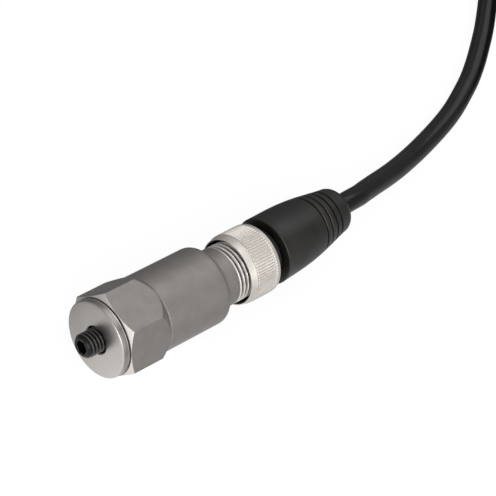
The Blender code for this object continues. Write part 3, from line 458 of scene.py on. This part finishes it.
def body_rows():
    """The turned and milled section, clockwise: front face, chamfer, flat, cone, body, neck, then the bores."""
    front = HEX_START + (hex_radius - FACE_RADIUS) * FRONT_SLOPE
    rear = HEX_END + (CORNER_RADIUS - hex_radius) / REAR_SLOPE
    crease = HEX_END + (CORNER_RADIUS - CREASE_RADIUS) / REAR_SLOPE
    flat_from, flat_to = (front, hex_radius), (rear, hex_radius)
    corners = [(HEX_START, 6.5, 0.05), (HEX_START, FACE_RADIUS, 0.06)]
    corners += between((HEX_START, FACE_RADIUS), flat_from, 2)
    corners += [(*flat_from, 0.09)] + between(flat_from, flat_to, 8) + [(*flat_to, 0.2)]
    corners += [(crease, CREASE_RADIUS, 0.05), (crease + CREASE_WIDTH, BODY_RADIUS, 0.05)]
    corners += between((crease + CREASE_WIDTH, BODY_RADIUS), (ROUND_START, BODY_RADIUS), 8)
    corners += arc(ROUND_START, BODY_RADIUS - BODY_ROUND, BODY_ROUND, 90, 0, 12)
    corners += [(BODY_END, NECK_RADIUS + NECK_FILLET)]
    corners += arc(BODY_END + NECK_FILLET, NECK_RADIUS + NECK_FILLET, NECK_FILLET, 180, 270, 5)
    corners += between((BODY_END + NECK_FILLET, NECK_RADIUS), (THREAD_FROM, NECK_RADIUS), 3)
    plain = section(corners, len(phi_body), closed=False)
    s = np.arange(THREAD_FROM, THREAD_TO, THREAD_STEP)[:, None]
    run = smooth_step((s - THREAD_FROM) / THREAD_RUN_IN)
    height = thread_height(s, phi_body[None, :], THREAD_PITCH)
    threaded = np.stack(np.broadcast_arrays(s, NECK_RADIUS - run * THREAD_DEPTH * (1 - height)), -1)
    end = [(36.55, 5.45), (NECK_END, 5.1), (NECK_END, 4.7), (28.6, 4.7), (28.6, 4.1), (26.0, 4.1), (26.0, 6.5)]
    return np.concatenate([plain, threaded, section(end, len(phi_body), closed=False)])


housing = turned("sensor_body", body_rows(), phi_body, closed_section=True)
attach(housing, "sensor_and_plug")
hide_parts("sensor_housing")
print("Sensor body:", len(housing.data.polygons), "faces")

# %% [markdown]
# ## Seating disc
# The face that touches the machine belongs to a turned plug that closes the body. Its rim is rounded, and a
# thin dark groove is left between it and the hexagon. The stud's hole has a small countersink.

# %% Seating disc
phi_round = np.linspace(0, 2 * math.pi, 192, endpoint=False)
FACE_S, HOLE_RIM = -0.4, 3.0                   # the seating face, from the countersink's rim outwards
DISC_RADIUS, RIM_ROUND = 7.8, 0.3

disc_corners = [(5.0, 0.0), (5.0, 2.75), (-0.15, 2.75, 0.05), (FACE_S, HOLE_RIM, 0.05)]
disc_corners += between((FACE_S, HOLE_RIM), (FACE_S, DISC_RADIUS - RIM_ROUND), 6)
disc_corners += arc(FACE_S + RIM_ROUND, DISC_RADIUS - RIM_ROUND, RIM_ROUND, 180, 90, 10)
disc_corners += [(1.0, DISC_RADIUS, 0.05), (1.0, 6.2), (8.0, 6.2, 0.1), (8.0, 1.8), (5.6, 1.8), (5.6, 0.0)]
seat = turned("seating_disc", section(disc_corners, len(phi_round), closed=False), phi_round, merge=True)
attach(seat, "sensor_and_plug")
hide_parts("base_plate")

# %% [markdown]
# ## Mounting stud
# A black set screw with a 5 mm thread stands out of the disc. Its free end is chamfered and has a hexagon
# socket. The end face runs from a circle to a hexagon, which is easy on a grid: the outer row has one radius
# for all angles and the inner row takes the hexagon's.

# %% Mounting stud
STUD_OUT, STUD_RADIUS, STUD_PITCH = 3.9, 2.45, 0.8
STUD_CHAMFER, STUD_THREAD_DEPTH = 0.55, 0.42
SOCKET_APOTHEM, SOCKET_DEPTH = 1.25, 2.4
phi_stud = np.linspace(0, 2 * math.pi, 120, endpoint=False)


def stud_rows():
    """Threaded shank, chamfer, end face, hexagonal socket and its drilled cone."""
    socket = SOCKET_APOTHEM / np.cos((phi_stud + math.pi / 6) % (math.pi / 3) - math.pi / 6)
    inner = section([(4.7, 0.0), (4.7, STUD_RADIUS - 0.3, 0.1)], len(phi_stud), closed=False)
    s = np.arange(4.3, -STUD_OUT + 0.05, -0.05)[:, None]
    limit = STUD_RADIUS - np.clip(-(s + STUD_OUT - STUD_CHAMFER), 0, None)
    height = thread_height(s, phi_stud[None, :], STUD_PITCH, crest=0.14, root=0.2)
    shank = np.minimum(STUD_RADIUS - STUD_THREAD_DEPTH * (1 - height), limit)
    shank = np.stack(np.broadcast_arrays(s, shank), -1)
    face = -STUD_OUT
    end = [(face, 1.86, 0.05), (face, socket + 0.08, 0.03), (face + 0.1, socket), (face + SOCKET_DEPTH, socket),
           (face + SOCKET_DEPTH + 0.5, 0.0)]
    return np.concatenate([inner, shank, section(end, len(phi_stud), closed=False)])


stud = turned("set_screw", stud_rows(), phi_stud, merge=True)
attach(stud, "sensor_and_plug")
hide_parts("mounting_stud")

# %% [markdown]
# ## Coupling nut
# The nut is turned from brass and knurled for grip with straight flutes, then plated. There are 80 here, which
# is a guess, because the photograph shows only part of the knurl. Between its smooth conical nose and the knurl
# there is a step, where the knurling wheel started. A flute is a shallow round valley: its depth is a smooth
# wave of 80 times the angle, which fades in and out over the wheel's edges.

# %% Coupling nut
FLUTES = 80
phi_nut = np.linspace(0, 2 * math.pi, FLUTES * 8, endpoint=False)
KNURL_FROM, KNURL_TO, KNURL_RADIUS, KNURL_STEP, FLUTE_DEPTH = 34.95, 40.1, 7.27, 0.2, 0.19
NUT_BORE, NUT_THREAD_DEPTH = 6.12, 0.3


def nut_rows():
    """Nose, step, knurled band and rear bevel outside; lip, ring groove, threaded bore and mouth inside."""
    nose = [(33.3, 6.72, 0.05), (33.3, 6.86, 0.06), (33.9, 6.93), (34.6, 7.2, 0.08), (34.78, 7.22, 0.05),
            (34.84, 7.0, 0.03), (34.93, 7.0)]
    outside = section(nose, len(phi_nut), closed=False)
    s = np.linspace(KNURL_FROM, KNURL_TO, 40)[:, None]
    fade = smooth_step((s - KNURL_FROM) / 0.25) * smooth_step((KNURL_TO - s) / 0.3)
    valley = 0.5 - 0.5 * np.cos(FLUTES * phi_nut[None, :])
    start = smooth_step((s - KNURL_FROM) / 0.12)
    radius = KNURL_RADIUS - (1 - start) * KNURL_STEP - FLUTE_DEPTH * fade * valley ** 0.8
    knurl = np.stack(np.broadcast_arrays(s, radius), -1)
    rear = [(40.2, 7.24, 0.04), (40.75, 7.2, 0.1), (41.1, 6.9, 0.1), (41.1, 5.9, 0.08), (40.2, 5.9), (40.2, 6.75),
            (39.0, 6.75), (39.0, 6.3)]
    inside = section(rear, len(phi_nut), closed=False)
    s = np.arange(38.8, 34.35, -0.1)[:, None]
    height = thread_height(s, phi_nut[None, :], THREAD_PITCH)
    bore = np.stack(np.broadcast_arrays(s, NUT_BORE + NUT_THREAD_DEPTH * height), -1)
    mouth = section([(34.3, 6.42), (33.9, 6.46), (33.42, 6.62)], len(phi_nut), closed=False)
    return np.concatenate([outside, knurl, inside, bore, mouth])


nut = turned("knurled_nut", nut_rows(), phi_nut, closed_section=True, sharp=38)
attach(nut, "nut")
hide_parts("coupling_nut")
print("Coupling nut:", len(nut.data.polygons), "faces")

# %% [markdown]
# ## Moulded grip
# The plug's body is moulded over the contacts and the cable in one shot. Its outline is a barrel that narrows
# faster and faster towards the cable, and four ring grooves near its end let it flex. The outline's radius was
# read at seven stations, and a smooth curve is fitted to them.

# %% Moulded grip
GRIP_START, GRIP_ROUND_AT, GRIP_ROUND = 43.5, 63.4, 2.0
BARREL = np.array([(43.5, 7.09), (47.1, 6.97), (50.8, 6.85), (54.6, 6.42), (58.4, 5.86), (61.65, 5.22), (64.0, 4.84)])
GROOVES = (55.9, 57.65, 59.45, 61.2)
GROOVE_HALF, GROOVE_DEPTH = 0.34, 0.5


def barrel_radius(s):
    """A smooth fall close to the read radii: a fourth-degree curve fitted to them, without the grooves."""
    return np.polynomial.Polynomial.fit(BARREL[:, 0], BARREL[:, 1], 4)(s)


def grip_rows():
    """Outside from front to cable, with the grooves sunk in, then the recess round the cable and the pocket."""
    s = np.concatenate([np.arange(43.8, 55.2, 0.6), np.arange(55.2, 61.95, 0.07), np.arange(62.0, 63.4, 0.15)])
    distance = np.abs(s[:, None] - np.array(GROOVES)[None, :]).min(axis=1)
    sunk = smooth_step((GROOVE_HALF - distance) / (0.8 * GROOVE_HALF))
    radius = barrel_radius(s) - GROOVE_DEPTH * sunk
    end_radius = float(barrel_radius(GRIP_ROUND_AT))
    corners = [(GRIP_START, r) for r in (4.3, 5.4, 6.2, 6.79)] + arc(43.8, 6.79, 0.3, 180, 100, 5)
    corners += list(zip(s, radius))
    corners += arc(GRIP_ROUND_AT, end_radius - GRIP_ROUND, GRIP_ROUND, 84, 12, 11)
    corners += [(65.45, 2.95, 0.15), (PLUG_END, 2.5, 0.05), (GRIP_ROUND_AT, 2.45), (GRIP_ROUND_AT, 0.0)]
    return section([(50.3, 0.0), (50.3, 4.3)] + corners, len(phi_round), closed=False)


grip = turned("moulded_grip", grip_rows(), phi_round, PLUG_SWING, merge=True, sharp=40)
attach(grip, "sensor_and_plug")
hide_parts("overmould_body")

# %% [markdown]
# ## Building finishes
# A finish is a small tree of nodes. One helper adds a node, sets it and links it, so each finish below reads
# as a list of what it does. Colours are written as they look on a screen and turned into linear light by one
# function. Patterns read Object coordinates, in metres, so a scale of 1 / 0.4 mm repeats every 0.4 mm.

# %% Colour and node helpers
CLOUD_LOW, CLOUD_HIGH = 0.3, 0.7        # most of a noise pattern's values lie between these two


def linear(hex_colour):
    """An sRGB colour such as #8f8b86 as linear red, green, blue and alpha."""
    parts = [int(hex_colour[i:i + 2], 16) / 255 for i in (1, 3, 5)]
    return [c / 12.92 if c <= 0.04045 else ((c + 0.055) / 1.055) ** 2.4 for c in parts] + [1.0]


def per_mm(size):
    """The scale at which a pattern repeats every size millimetres."""
    return 1.0 / (size * MM)


def add(tree, kind, settings=None, **links):
    """Adds a node. Settings are its own fields, or its sockets by name; links are sockets fed by other nodes."""
    made = tree.nodes.new("ShaderNode" + kind)
    for key, value in (settings or {}).items():
        if isinstance(key, int) or key in made.inputs:
            made.inputs[key].default_value = value
        else:
            setattr(made, key, value)
    for key, source in links.items():
        numbered = key[0] == "i" and key[1:].isdigit()
        socket = made.inputs[int(key[1:]) if numbered else key.replace("_", " ")]
        output = source[0].outputs[source[1]] if isinstance(source, tuple) else source.outputs[0]
        tree.links.new(output, socket)
    return made


def new_finish(name, metallic, roughness, **more):
    """An empty finish: its shader with fixed values, and its tree to add patterns to."""
    made = bpy.data.materials.new(name)
    made.use_nodes = True
    shader = made.node_tree.nodes["Principled BSDF"]
    shader.inputs["Metallic"].default_value = metallic
    shader.inputs["Roughness"].default_value = roughness
    for key, value in more.items():
        shader.inputs[key.replace("_", " ")].default_value = value
    return made, made.node_tree, shader


def tinted(tree, shader, source, dark, light, low=CLOUD_LOW, high=CLOUD_HIGH):
    """Feeds the base colour from a pattern: dark where it is low, light where it is high."""
    ramp = add(tree, "ValToRGB", Fac=source)
    ramp.color_ramp.elements[0].position, ramp.color_ramp.elements[1].position = low, high
    ramp.color_ramp.elements[0].color, ramp.color_ramp.elements[1].color = linear(dark), linear(light)
    tree.links.new(ramp.outputs["Color"], shader.inputs["Base Color"])


def roughened(tree, shader, source, low, high):
    """Feeds the roughness from a pattern, between two values."""
    mapped = add(tree, "MapRange", {"To Min": low, "To Max": high}, Value=source)
    tree.links.new(mapped.outputs["Result"], shader.inputs["Roughness"])


def embossed(tree, shader, source, depth_mm, strength=1.0):
    """Feeds the normal from a pattern's height."""
    bump = add(tree, "Bump", {"Strength": strength, "Distance": depth_mm * MM}, Height=source)
    tree.links.new(bump.outputs["Normal"], shader.inputs["Normal"])


def noise(tree, place, size_mm, detail=3.0, roughness=0.5):
    """A cloud pattern whose patches are about size_mm across."""
    return add(tree, "TexNoise", {"Scale": per_mm(size_mm), "Detail": detail, "Roughness": roughness}, Vector=place)


def stretched(tree, place, factors):
    """The same place with each direction scaled, which draws a pattern out where the factor is small."""
    return add(tree, "Mapping", {"Scale": factors}, Vector=place)


def along_axis(tree):
    """The place along the sensor's axis, in metres."""
    return (add(tree, "SeparateXYZ", Vector=(add(tree, "TexCoord"), "Object")), "X")


def from_axis(tree):
    """The distance from the sensor's axis, in metres."""
    moved = add(tree, "Mapping", {"Location": (0.0, 0.0, -AXIS_Z * MM), "Scale": (0.0, 1.0, 1.0)},
                Vector=(add(tree, "TexCoord"), "Object"))
    return (add(tree, "VectorMath", {"operation": "LENGTH"}, i0=moved), "Value")


def faded(tree, source, start_mm, end_mm, low=0.0, high=1.0):
    """Goes from low to high while a distance goes from start to end, and stays flat outside."""
    made = add(tree, "MapRange", {"From Min": start_mm * MM, "From Max": end_mm * MM, "To Min": low, "To Max": high},
               Value=source)
    return (made, "Result")


def ranged(tree, source, low, high):
    """Maps a cloud pattern to the values from low to high."""
    made = add(tree, "MapRange", {"From Min": CLOUD_LOW, "From Max": CLOUD_HIGH, "To Min": low, "To Max": high},
               Value=source)
    return (made, "Result")


def blended(tree, share, first, second):
    """Two values by a share: the first where it is 0, the second where it is 1. The second may be a number."""
    if isinstance(second, float):
        return add(tree, "Mix", {3: second}, i0=share, i2=first)
    return add(tree, "Mix", i0=share, i2=first, i3=second)


# %% [markdown]
# ## Satin stainless steel
# The body is turned, milled and then blasted with fine glass beads, which leaves an even grey satin: a metal
# with a roughness near 0.6 and a faint cloudiness. Under the beads the tool marks still run round the axis,
# so the height pattern is fine along X and drawn out across it. On such a body they are about
# 0.05 mm apart, and they are drawn at 0.12 mm, because finer ones would vanish between the pixels.
#
# Two places differ. The chamfer on the hexagon's front is turned afresh, and its tone is set far above the satin's:
# partly that fresh turning, partly a painted highlight. A point lies on it where its distance from the axis reaches
# the chamfer's cone, which a sum of two coordinates tells. On the thread the tone follows the radius: the crests
# carry a painted highlight, and the roots, the neck's end and most of its bore are painted nearly black as painted
# shade.

# %% Satin stainless steel
STEEL_SHADOW, STEEL_LIGHT = "#1c1b1a", "#d8d3ce"
# The chamfer's tone is partly its fresh turning and partly a painted highlight.
SATIN_LOW, SATIN_HIGH, CHAMFER_TONE_AND_HIGHLIGHT = 0.318, 0.36, 0.85
satin_steel, tree, shader = new_finish("bead_blasted_stainless_steel", 1.0, 0.58)
place = (add(tree, "TexCoord"), "Object")
clouds = noise(tree, place, 2.5, detail=4.0)
satin = ranged(tree, (clouds, "Fac"), SATIN_LOW, SATIN_HIGH)
cone_start = (SEAT_X + HEX_START) * MM / FRONT_SLOPE
cone = add(tree, "Math", {"operation": "MULTIPLY_ADD", 1: -1 / FRONT_SLOPE, 2: cone_start}, i0=along_axis(tree))
reach = add(tree, "Math", {"operation": "ADD"}, i0=from_axis(tree), i1=cone)
# The chamfer's mask, where that painted highlight goes.
chamfer_highlight_mask = faded(tree, reach, FACE_RADIUS - 0.06, FACE_RADIUS - 0.02)
on_thread = faded(tree, along_axis(tree), SEAT_X + THREAD_FROM - 0.2, SEAT_X + THREAD_FROM + 0.2)
# The thread's tone by radius: a painted highlight on the crests, and painted shade, nearly black, in the roots, on
# the neck's end and in its bore.
crests = faded(tree, from_axis(tree), NECK_RADIUS - THREAD_DEPTH, NECK_RADIUS - 0.1, 0.06, 1.0)
tone = blended(tree, on_thread, blended(tree, chamfer_highlight_mask, satin, CHAMFER_TONE_AND_HIGHLIGHT), crests)
tinted(tree, shader, tone, STEEL_SHADOW, STEEL_LIGHT, low=0.0, high=1.0)
roughened(tree, shader, (noise(tree, place, 0.8), "Fac"), 0.54, 0.62)
marks = noise(tree, stretched(tree, place, (1.0, 0.03, 0.03)), 0.12, detail=2.0)
grit = noise(tree, place, 0.15, detail=1.0)
both = add(tree, "Math", {"operation": "ADD"}, i0=(marks, "Fac"), i1=(grit, "Fac"))
embossed(tree, shader, both, 0.004, 0.5)
housing.data.materials.append(satin_steel)

# %% [markdown]
# ## Fine turned steel
# The seating disc has to lie flat on the machine, so its face is turned last, after the blasting. The tool
# leaves rings about the axis, and rings need the distance from the axis, which drives the height pattern. The
# disc's wall keeps the blasted grey, and a thin bright line along its back edge is a painted highlight.

# %% Fine turned steel
# The last value is the tone of a painted highlight along the disc's back edge.
FACE_LOW, FACE_HIGH, EDGE_HIGHLIGHT_TONE = 0.65, 0.72, 0.95
faced_steel, tree, shader = new_finish("faced_steel", 1.0, 0.36)
place = (add(tree, "TexCoord"), "Object")
rings = add(tree, "CombineXYZ", X=from_axis(tree))
face = ranged(tree, (noise(tree, place, 5.0, detail=2.0), "Fac"), FACE_LOW, FACE_HIGH)
on_wall = faded(tree, along_axis(tree), SEAT_X - 0.38, SEAT_X - 0.22)
# A painted highlight: a thin bright line from the back of the wall onwards.
edge_highlight_mask = faded(tree, along_axis(tree), SEAT_X + 0.8, SEAT_X + 0.9)
tone = blended(tree, edge_highlight_mask, blended(tree, on_wall, face, SATIN_HIGH), EDGE_HIGHLIGHT_TONE)
tinted(tree, shader, tone, STEEL_SHADOW, STEEL_LIGHT, low=0.0, high=1.0)
roughened(tree, shader, (noise(tree, place, 1.5), "Fac"), 0.32, 0.4)
embossed(tree, shader, (noise(tree, rings, 0.12, detail=2.0), "Fac"), 0.0015, 0.4)
seat.data.materials.append(faced_steel)

# %% [markdown]
# ## Black oxide on steel
# The set screw is hardened and then boiled in a salt bath, which leaves a thin oiled black skin. It is dark
# but still metal underneath, so it keeps a sheen. Its tone follows the radius: the crests are grey, partly where they
# rub through and partly as a painted highlight, and the roots are darker still as painted shade.

# %% Black oxide on steel
black_oxide, tree, shader = new_finish("black_oxide_on_steel", 0.6, 0.38)
place = (add(tree, "TexCoord"), "Object")
# Lighter crests and darker roots: partly wear, partly a painted highlight and painted shade.
crest = faded(tree, from_axis(tree), STUD_RADIUS - 0.25, STUD_RADIUS - 0.03)
tinted(tree, shader, crest, "#0b0b0b", "#45433f", low=0.1, high=0.9)
roughened(tree, shader, (noise(tree, place, 0.4), "Fac"), 0.3, 0.46)
embossed(tree, shader, (noise(tree, place, 0.12), "Fac"), 0.003, 0.5)
stud.data.materials.append(black_oxide)

# %% [markdown]
# ## Nickel plate on brass
# Dull nickel on a knurled nut is pale and slightly warm. The plating levels small marks, so it is smoother
# than the body and shows its knurl as crisp light and dark lines. Inside the threaded bore the colour is painted
# nearly black, as painted shade, so the nut's mouth shows as a black gap round the neck.

# %% Nickel plate on brass
PLATE_LOW, PLATE_HIGH = 0.8, 0.88
nickel, tree, shader = new_finish("nickel_plated_brass", 1.0, 0.5)
place = (add(tree, "TexCoord"), "Object")
plate = ranged(tree, (noise(tree, place, 1.2), "Fac"), PLATE_LOW, PLATE_HIGH)
# Inside the bore the colour is painted nearly black: painted shade.
outside = faded(tree, from_axis(tree), 6.6, 6.7)
tone = add(tree, "Math", {"operation": "MULTIPLY"}, i0=plate, i1=outside)
tinted(tree, shader, tone, "#171514", "#dcd7d0", low=0.0, high=1.0)
roughened(tree, shader, (noise(tree, place, 0.5), "Fac"), 0.46, 0.54)
embossed(tree, shader, (noise(tree, stretched(tree, place, (1.0, 0.1, 0.1)), 0.15), "Fac"), 0.002, 0.5)
nut.data.materials.append(nickel)

# %% [markdown]
# ## Moulded polyurethane
# The grip is moulded in a spark-eroded mould, which gives it a fine even grain and a matt charcoal look with
# a broad soft sheen. On such a moulding the grain is about 0.05 mm across, and it is drawn at 0.15 mm here.

# %% Moulded polyurethane
grip_plastic, tree, shader = new_finish("spark_eroded_polyurethane", 0.0, 0.45, IOR=1.42)
place = (add(tree, "TexCoord"), "Object")
tinted(tree, shader, (noise(tree, place, 8.0, detail=2.0), "Fac"), "#080706", "#1b1917")
roughened(tree, shader, (noise(tree, place, 5.0, detail=1.0), "Fac"), 0.28, 0.56)
embossed(tree, shader, (noise(tree, place, 0.15, detail=2.0), "Fac"), 0.006, 0.6)
grip.data.materials.append(grip_plastic)

# %% [markdown]
# ## Extruded cable jacket
# The jacket comes out of a round die, smooth but faintly wavy. It reflects less light than the grip does, but
# from a smoother surface, so its highlight is narrower and sharper. The soft waviness is what breaks it up.

# %% Extruded cable jacket
jacket, tree, shader = new_finish("extruded_polyurethane_jacket", 0.0, 0.36, IOR=1.5, Specular_IOR_Level=0.24)
place = (add(tree, "TexCoord"), "Object")
tinted(tree, shader, (noise(tree, place, 6.0, detail=3.0), "Fac"), "#0a0a0a", "#121110")
roughened(tree, shader, (noise(tree, place, 2.0), "Fac"), 0.18, 0.3)
embossed(tree, shader, (noise(tree, place, 1.6, detail=2.0), "Fac"), 0.02, 0.5)
cable.data.materials.append(jacket)

# %% [markdown]
# ## Finishes of the remaining pieces
# The solids that stay as they are get finishes too, also those inside the body, which show when the object is
# taken apart. They share one recipe, a base with a fine cloud of colour and a fine grain, and differ in the
# values that a reader can compare in the table.

# %% Table of simple finishes
SIMPLE = {
    # name: (dark, light, metallic, roughness, grain in mm, nodes)
    "fired_alumina": ("#d6d1c5", "#e2ddd2", 0.0, 0.5, 0.2, ["base_insulator", "preload_washer"]),
    "fired_piezo_ceramic": ("#b0a078", "#bfae86", 0.0, 0.6, 0.2, ["piezo_ring_lower", "piezo_ring_upper"]),
    "rolled_brass": ("#b99850", "#c9aa64", 1.0, 0.35, 0.3, ["electrode_ring", "shield_can"]),
    "sintered_heavy_metal": ("#686664", "#767472", 1.0, 0.42, 0.15, ["seismic_mass"]),
    "turned_spring_steel": ("#a9a6a1", "#b8b5b0", 1.0, 0.28, 0.2, ["preload_bolt", "retaining_ring"]),
    "glass_laminate": ("#27533a", "#316141", 0.0, 0.45, 0.4, ["amplifier_board", "output_board"]),
    "moulded_epoxy": ("#141414", "#1c1c1c", 0.0, 0.5, 0.15, ["amplifier_chip", "output_chip"]),
    "moulded_polyamide": ("#19191a", "#212122", 0.0, 0.55, 0.2, ["spacer_lower", "spacer_upper", "connector_insert"]),
    "gold_plate": ("#cba54d", "#dbb863", 1.0, 0.24, 0.2, [n for n in frame["nodes"] if "contact_pin" in n
                                                          or "socket_contact" in n or "link_pin" in n]),
    "fluororubber": ("#74261b", "#842e22", 0.0, 0.65, 0.2, ["insert_seal", "nose_seal"]),
    "moulded_polyurethane_black": ("#101010", "#171717", 0.0, 0.6, 0.2, ["contact_carrier"]),
    "brown_insulation": ("#55351f", "#64402a", 0.0, 0.4, 0.5, ["core_brown"]),
    "white_insulation": ("#d6d4ce", "#e2e0db", 0.0, 0.4, 0.5, ["core_white", "signal_lead"]),
    "blue_insulation": ("#2a5494", "#3560a4", 0.0, 0.4, 0.5, ["core_blue"]),
    "black_insulation": ("#151515", "#1f1f1f", 0.0, 0.4, 0.5, ["core_black"]),
    "polyamide_tie": ("#161616", "#202020", 0.0, 0.5, 0.3, []),
}


def simple_finish(name, dark, light, metallic, roughness, grain):
    """A base colour that clouds between two tones every few grains, and a fine height pattern."""
    made, tree, shader = new_finish(name, metallic, roughness)
    place = (add(tree, "TexCoord"), "Object")
    tinted(tree, shader, (noise(tree, place, 6 * grain), "Fac"), dark, light)
    roughened(tree, shader, (noise(tree, place, 3 * grain), "Fac"), roughness - 0.05, roughness + 0.05)
    embossed(tree, shader, (noise(tree, place, grain), "Fac"), 0.004, 0.5)
    return made


finishes = {}
for finish_name, (dark, light, metallic, roughness, grain, names) in SIMPLE.items():
    finishes[finish_name] = simple_finish(finish_name, dark, light, metallic, roughness, grain)
    for node_name in names:
        solid = frame["nodes"][node_name]
        solid.data.materials.clear()
        solid.data.materials.append(finishes[finish_name])
for tie in ties.values():
    tie.data.materials.append(finishes["polyamide_tie"])
print("Finishes:", len(bpy.data.materials))

# %% [markdown]
# ## Table, backdrop and light
# The picture is a studio shot on white. To the camera the floor is a sheet that glows white, with a trace of
# soft shadow left in it. Metal shows what stands round it, so reflections see other strengths: floor and world
# are bright towards the sensor's front, which lights the chamfers, and dim behind it, which gives the satin
# faces their grey. The floor also dims from the camera's side to the far side, which grades the seating disc.
# Three large soft lamps stand in front, above and at the side.

# %% Floor and world
FLOOR_HALF, FLOOR_DROP = 3.0, 0.0002        # metres
CAMERA_WHITE = 0.93        # how much of what the camera sees of the floor is glow, the rest being lit paper
floor_mesh = bpy.data.meshes.new("floor")
floor_corners = [(x * FLOOR_HALF, y * FLOOR_HALF, 0) for x, y in ((-1, -1), (1, -1), (1, 1), (-1, 1))]
floor_mesh.from_pydata(floor_corners, [], [(0, 1, 2, 3)])
floor = bpy.data.objects.new("floor", floor_mesh)
floor.location = (0.0, 0.0, -FLOOR_DROP)
bpy.context.scene.collection.objects.link(floor)
white_floor, tree, shader = new_finish("white_paper", 0.0, 0.9)
shader.inputs["Base Color"].default_value = linear("#f4f4f3")
rays = add(tree, "LightPath")
place = add(tree, "SeparateXYZ", Vector=(add(tree, "TexCoord"), "Object"))
front_to_back = faded(tree, (place, "X"), -60.0, 30.0, 0.85, 0.4)
near_to_far = faded(tree, (place, "Y"), -8.0, 18.0, 1.75, 0.42)
dimmer = add(tree, "Math", {"operation": "MULTIPLY"}, i0=front_to_back, i1=near_to_far)
bright = add(tree, "Math", {"operation": "MAXIMUM"}, i0=dimmer, i1=(rays, "Is Camera Ray"))
glow = add(tree, "Emission", {"Color": (1.0, 1.0, 1.0, 1.0)}, Strength=bright)
camera_share = add(tree, "Math", {"operation": "MULTIPLY", 1: CAMERA_WHITE}, i0=(rays, "Is Camera Ray"))
share = add(tree, "Math", {"operation": "ADD"}, i0=camera_share, i1=(rays, "Is Glossy Ray"))
mixed = add(tree, "MixShader", Fac=share, i1=shader, i2=glow)
tree.links.new(mixed.outputs[0], tree.nodes["Material Output"].inputs["Surface"])
floor.data.materials.append(white_floor)

world = bpy.data.worlds.new("studio")
bpy.context.scene.world = world
world.use_nodes = True
tree = world.node_tree
background = tree.nodes["Background"]
background.inputs["Color"].default_value = (1.0, 1.0, 1.0, 1.0)
rays = add(tree, "LightPath")
direction = add(tree, "SeparateXYZ", Vector=(add(tree, "TexCoord"), "Generated"))
side = add(tree, "MapRange", {"From Min": -0.9, "From Max": 0.6, "To Min": 0.9, "To Max": 0.42},
           Value=(direction, "X"))
strength = add(tree, "Math", {"operation": "MAXIMUM"}, i0=(side, "Result"), i1=(rays, "Is Camera Ray"))
tree.links.new(strength.outputs[0], background.inputs["Strength"])


# %% Lamps
def soft_lamp(name, place, aim, size, watts):
    """A square area lamp of the given side in metres, at a place and aimed at a point."""
    data = bpy.data.lights.new(name, "AREA")
    data.shape = "SQUARE"
    data.size = size
    data.energy = watts
    lamp = bpy.data.objects.new(name, data)
    lamp.location = place
    lamp.rotation_euler = (Vector(aim) - Vector(place)).to_track_quat("-Z", "Y").to_euler()
    bpy.context.scene.collection.objects.link(lamp)
    return lamp


soft_lamp("key", (-0.8, -0.5, 0.6), (0.0, 0.0, 0.0), 0.8, 9.0)
soft_lamp("top", (0.5, 0.3, 1.0), (0.0, 0.0, 0.0), 1.0, 5.0)
soft_lamp("side", (0.2, -0.9, 0.6), (0.0, 0.0, 0.0), 1.0, 4.0)
bpy.context.scene.view_settings.view_transform = "Standard"
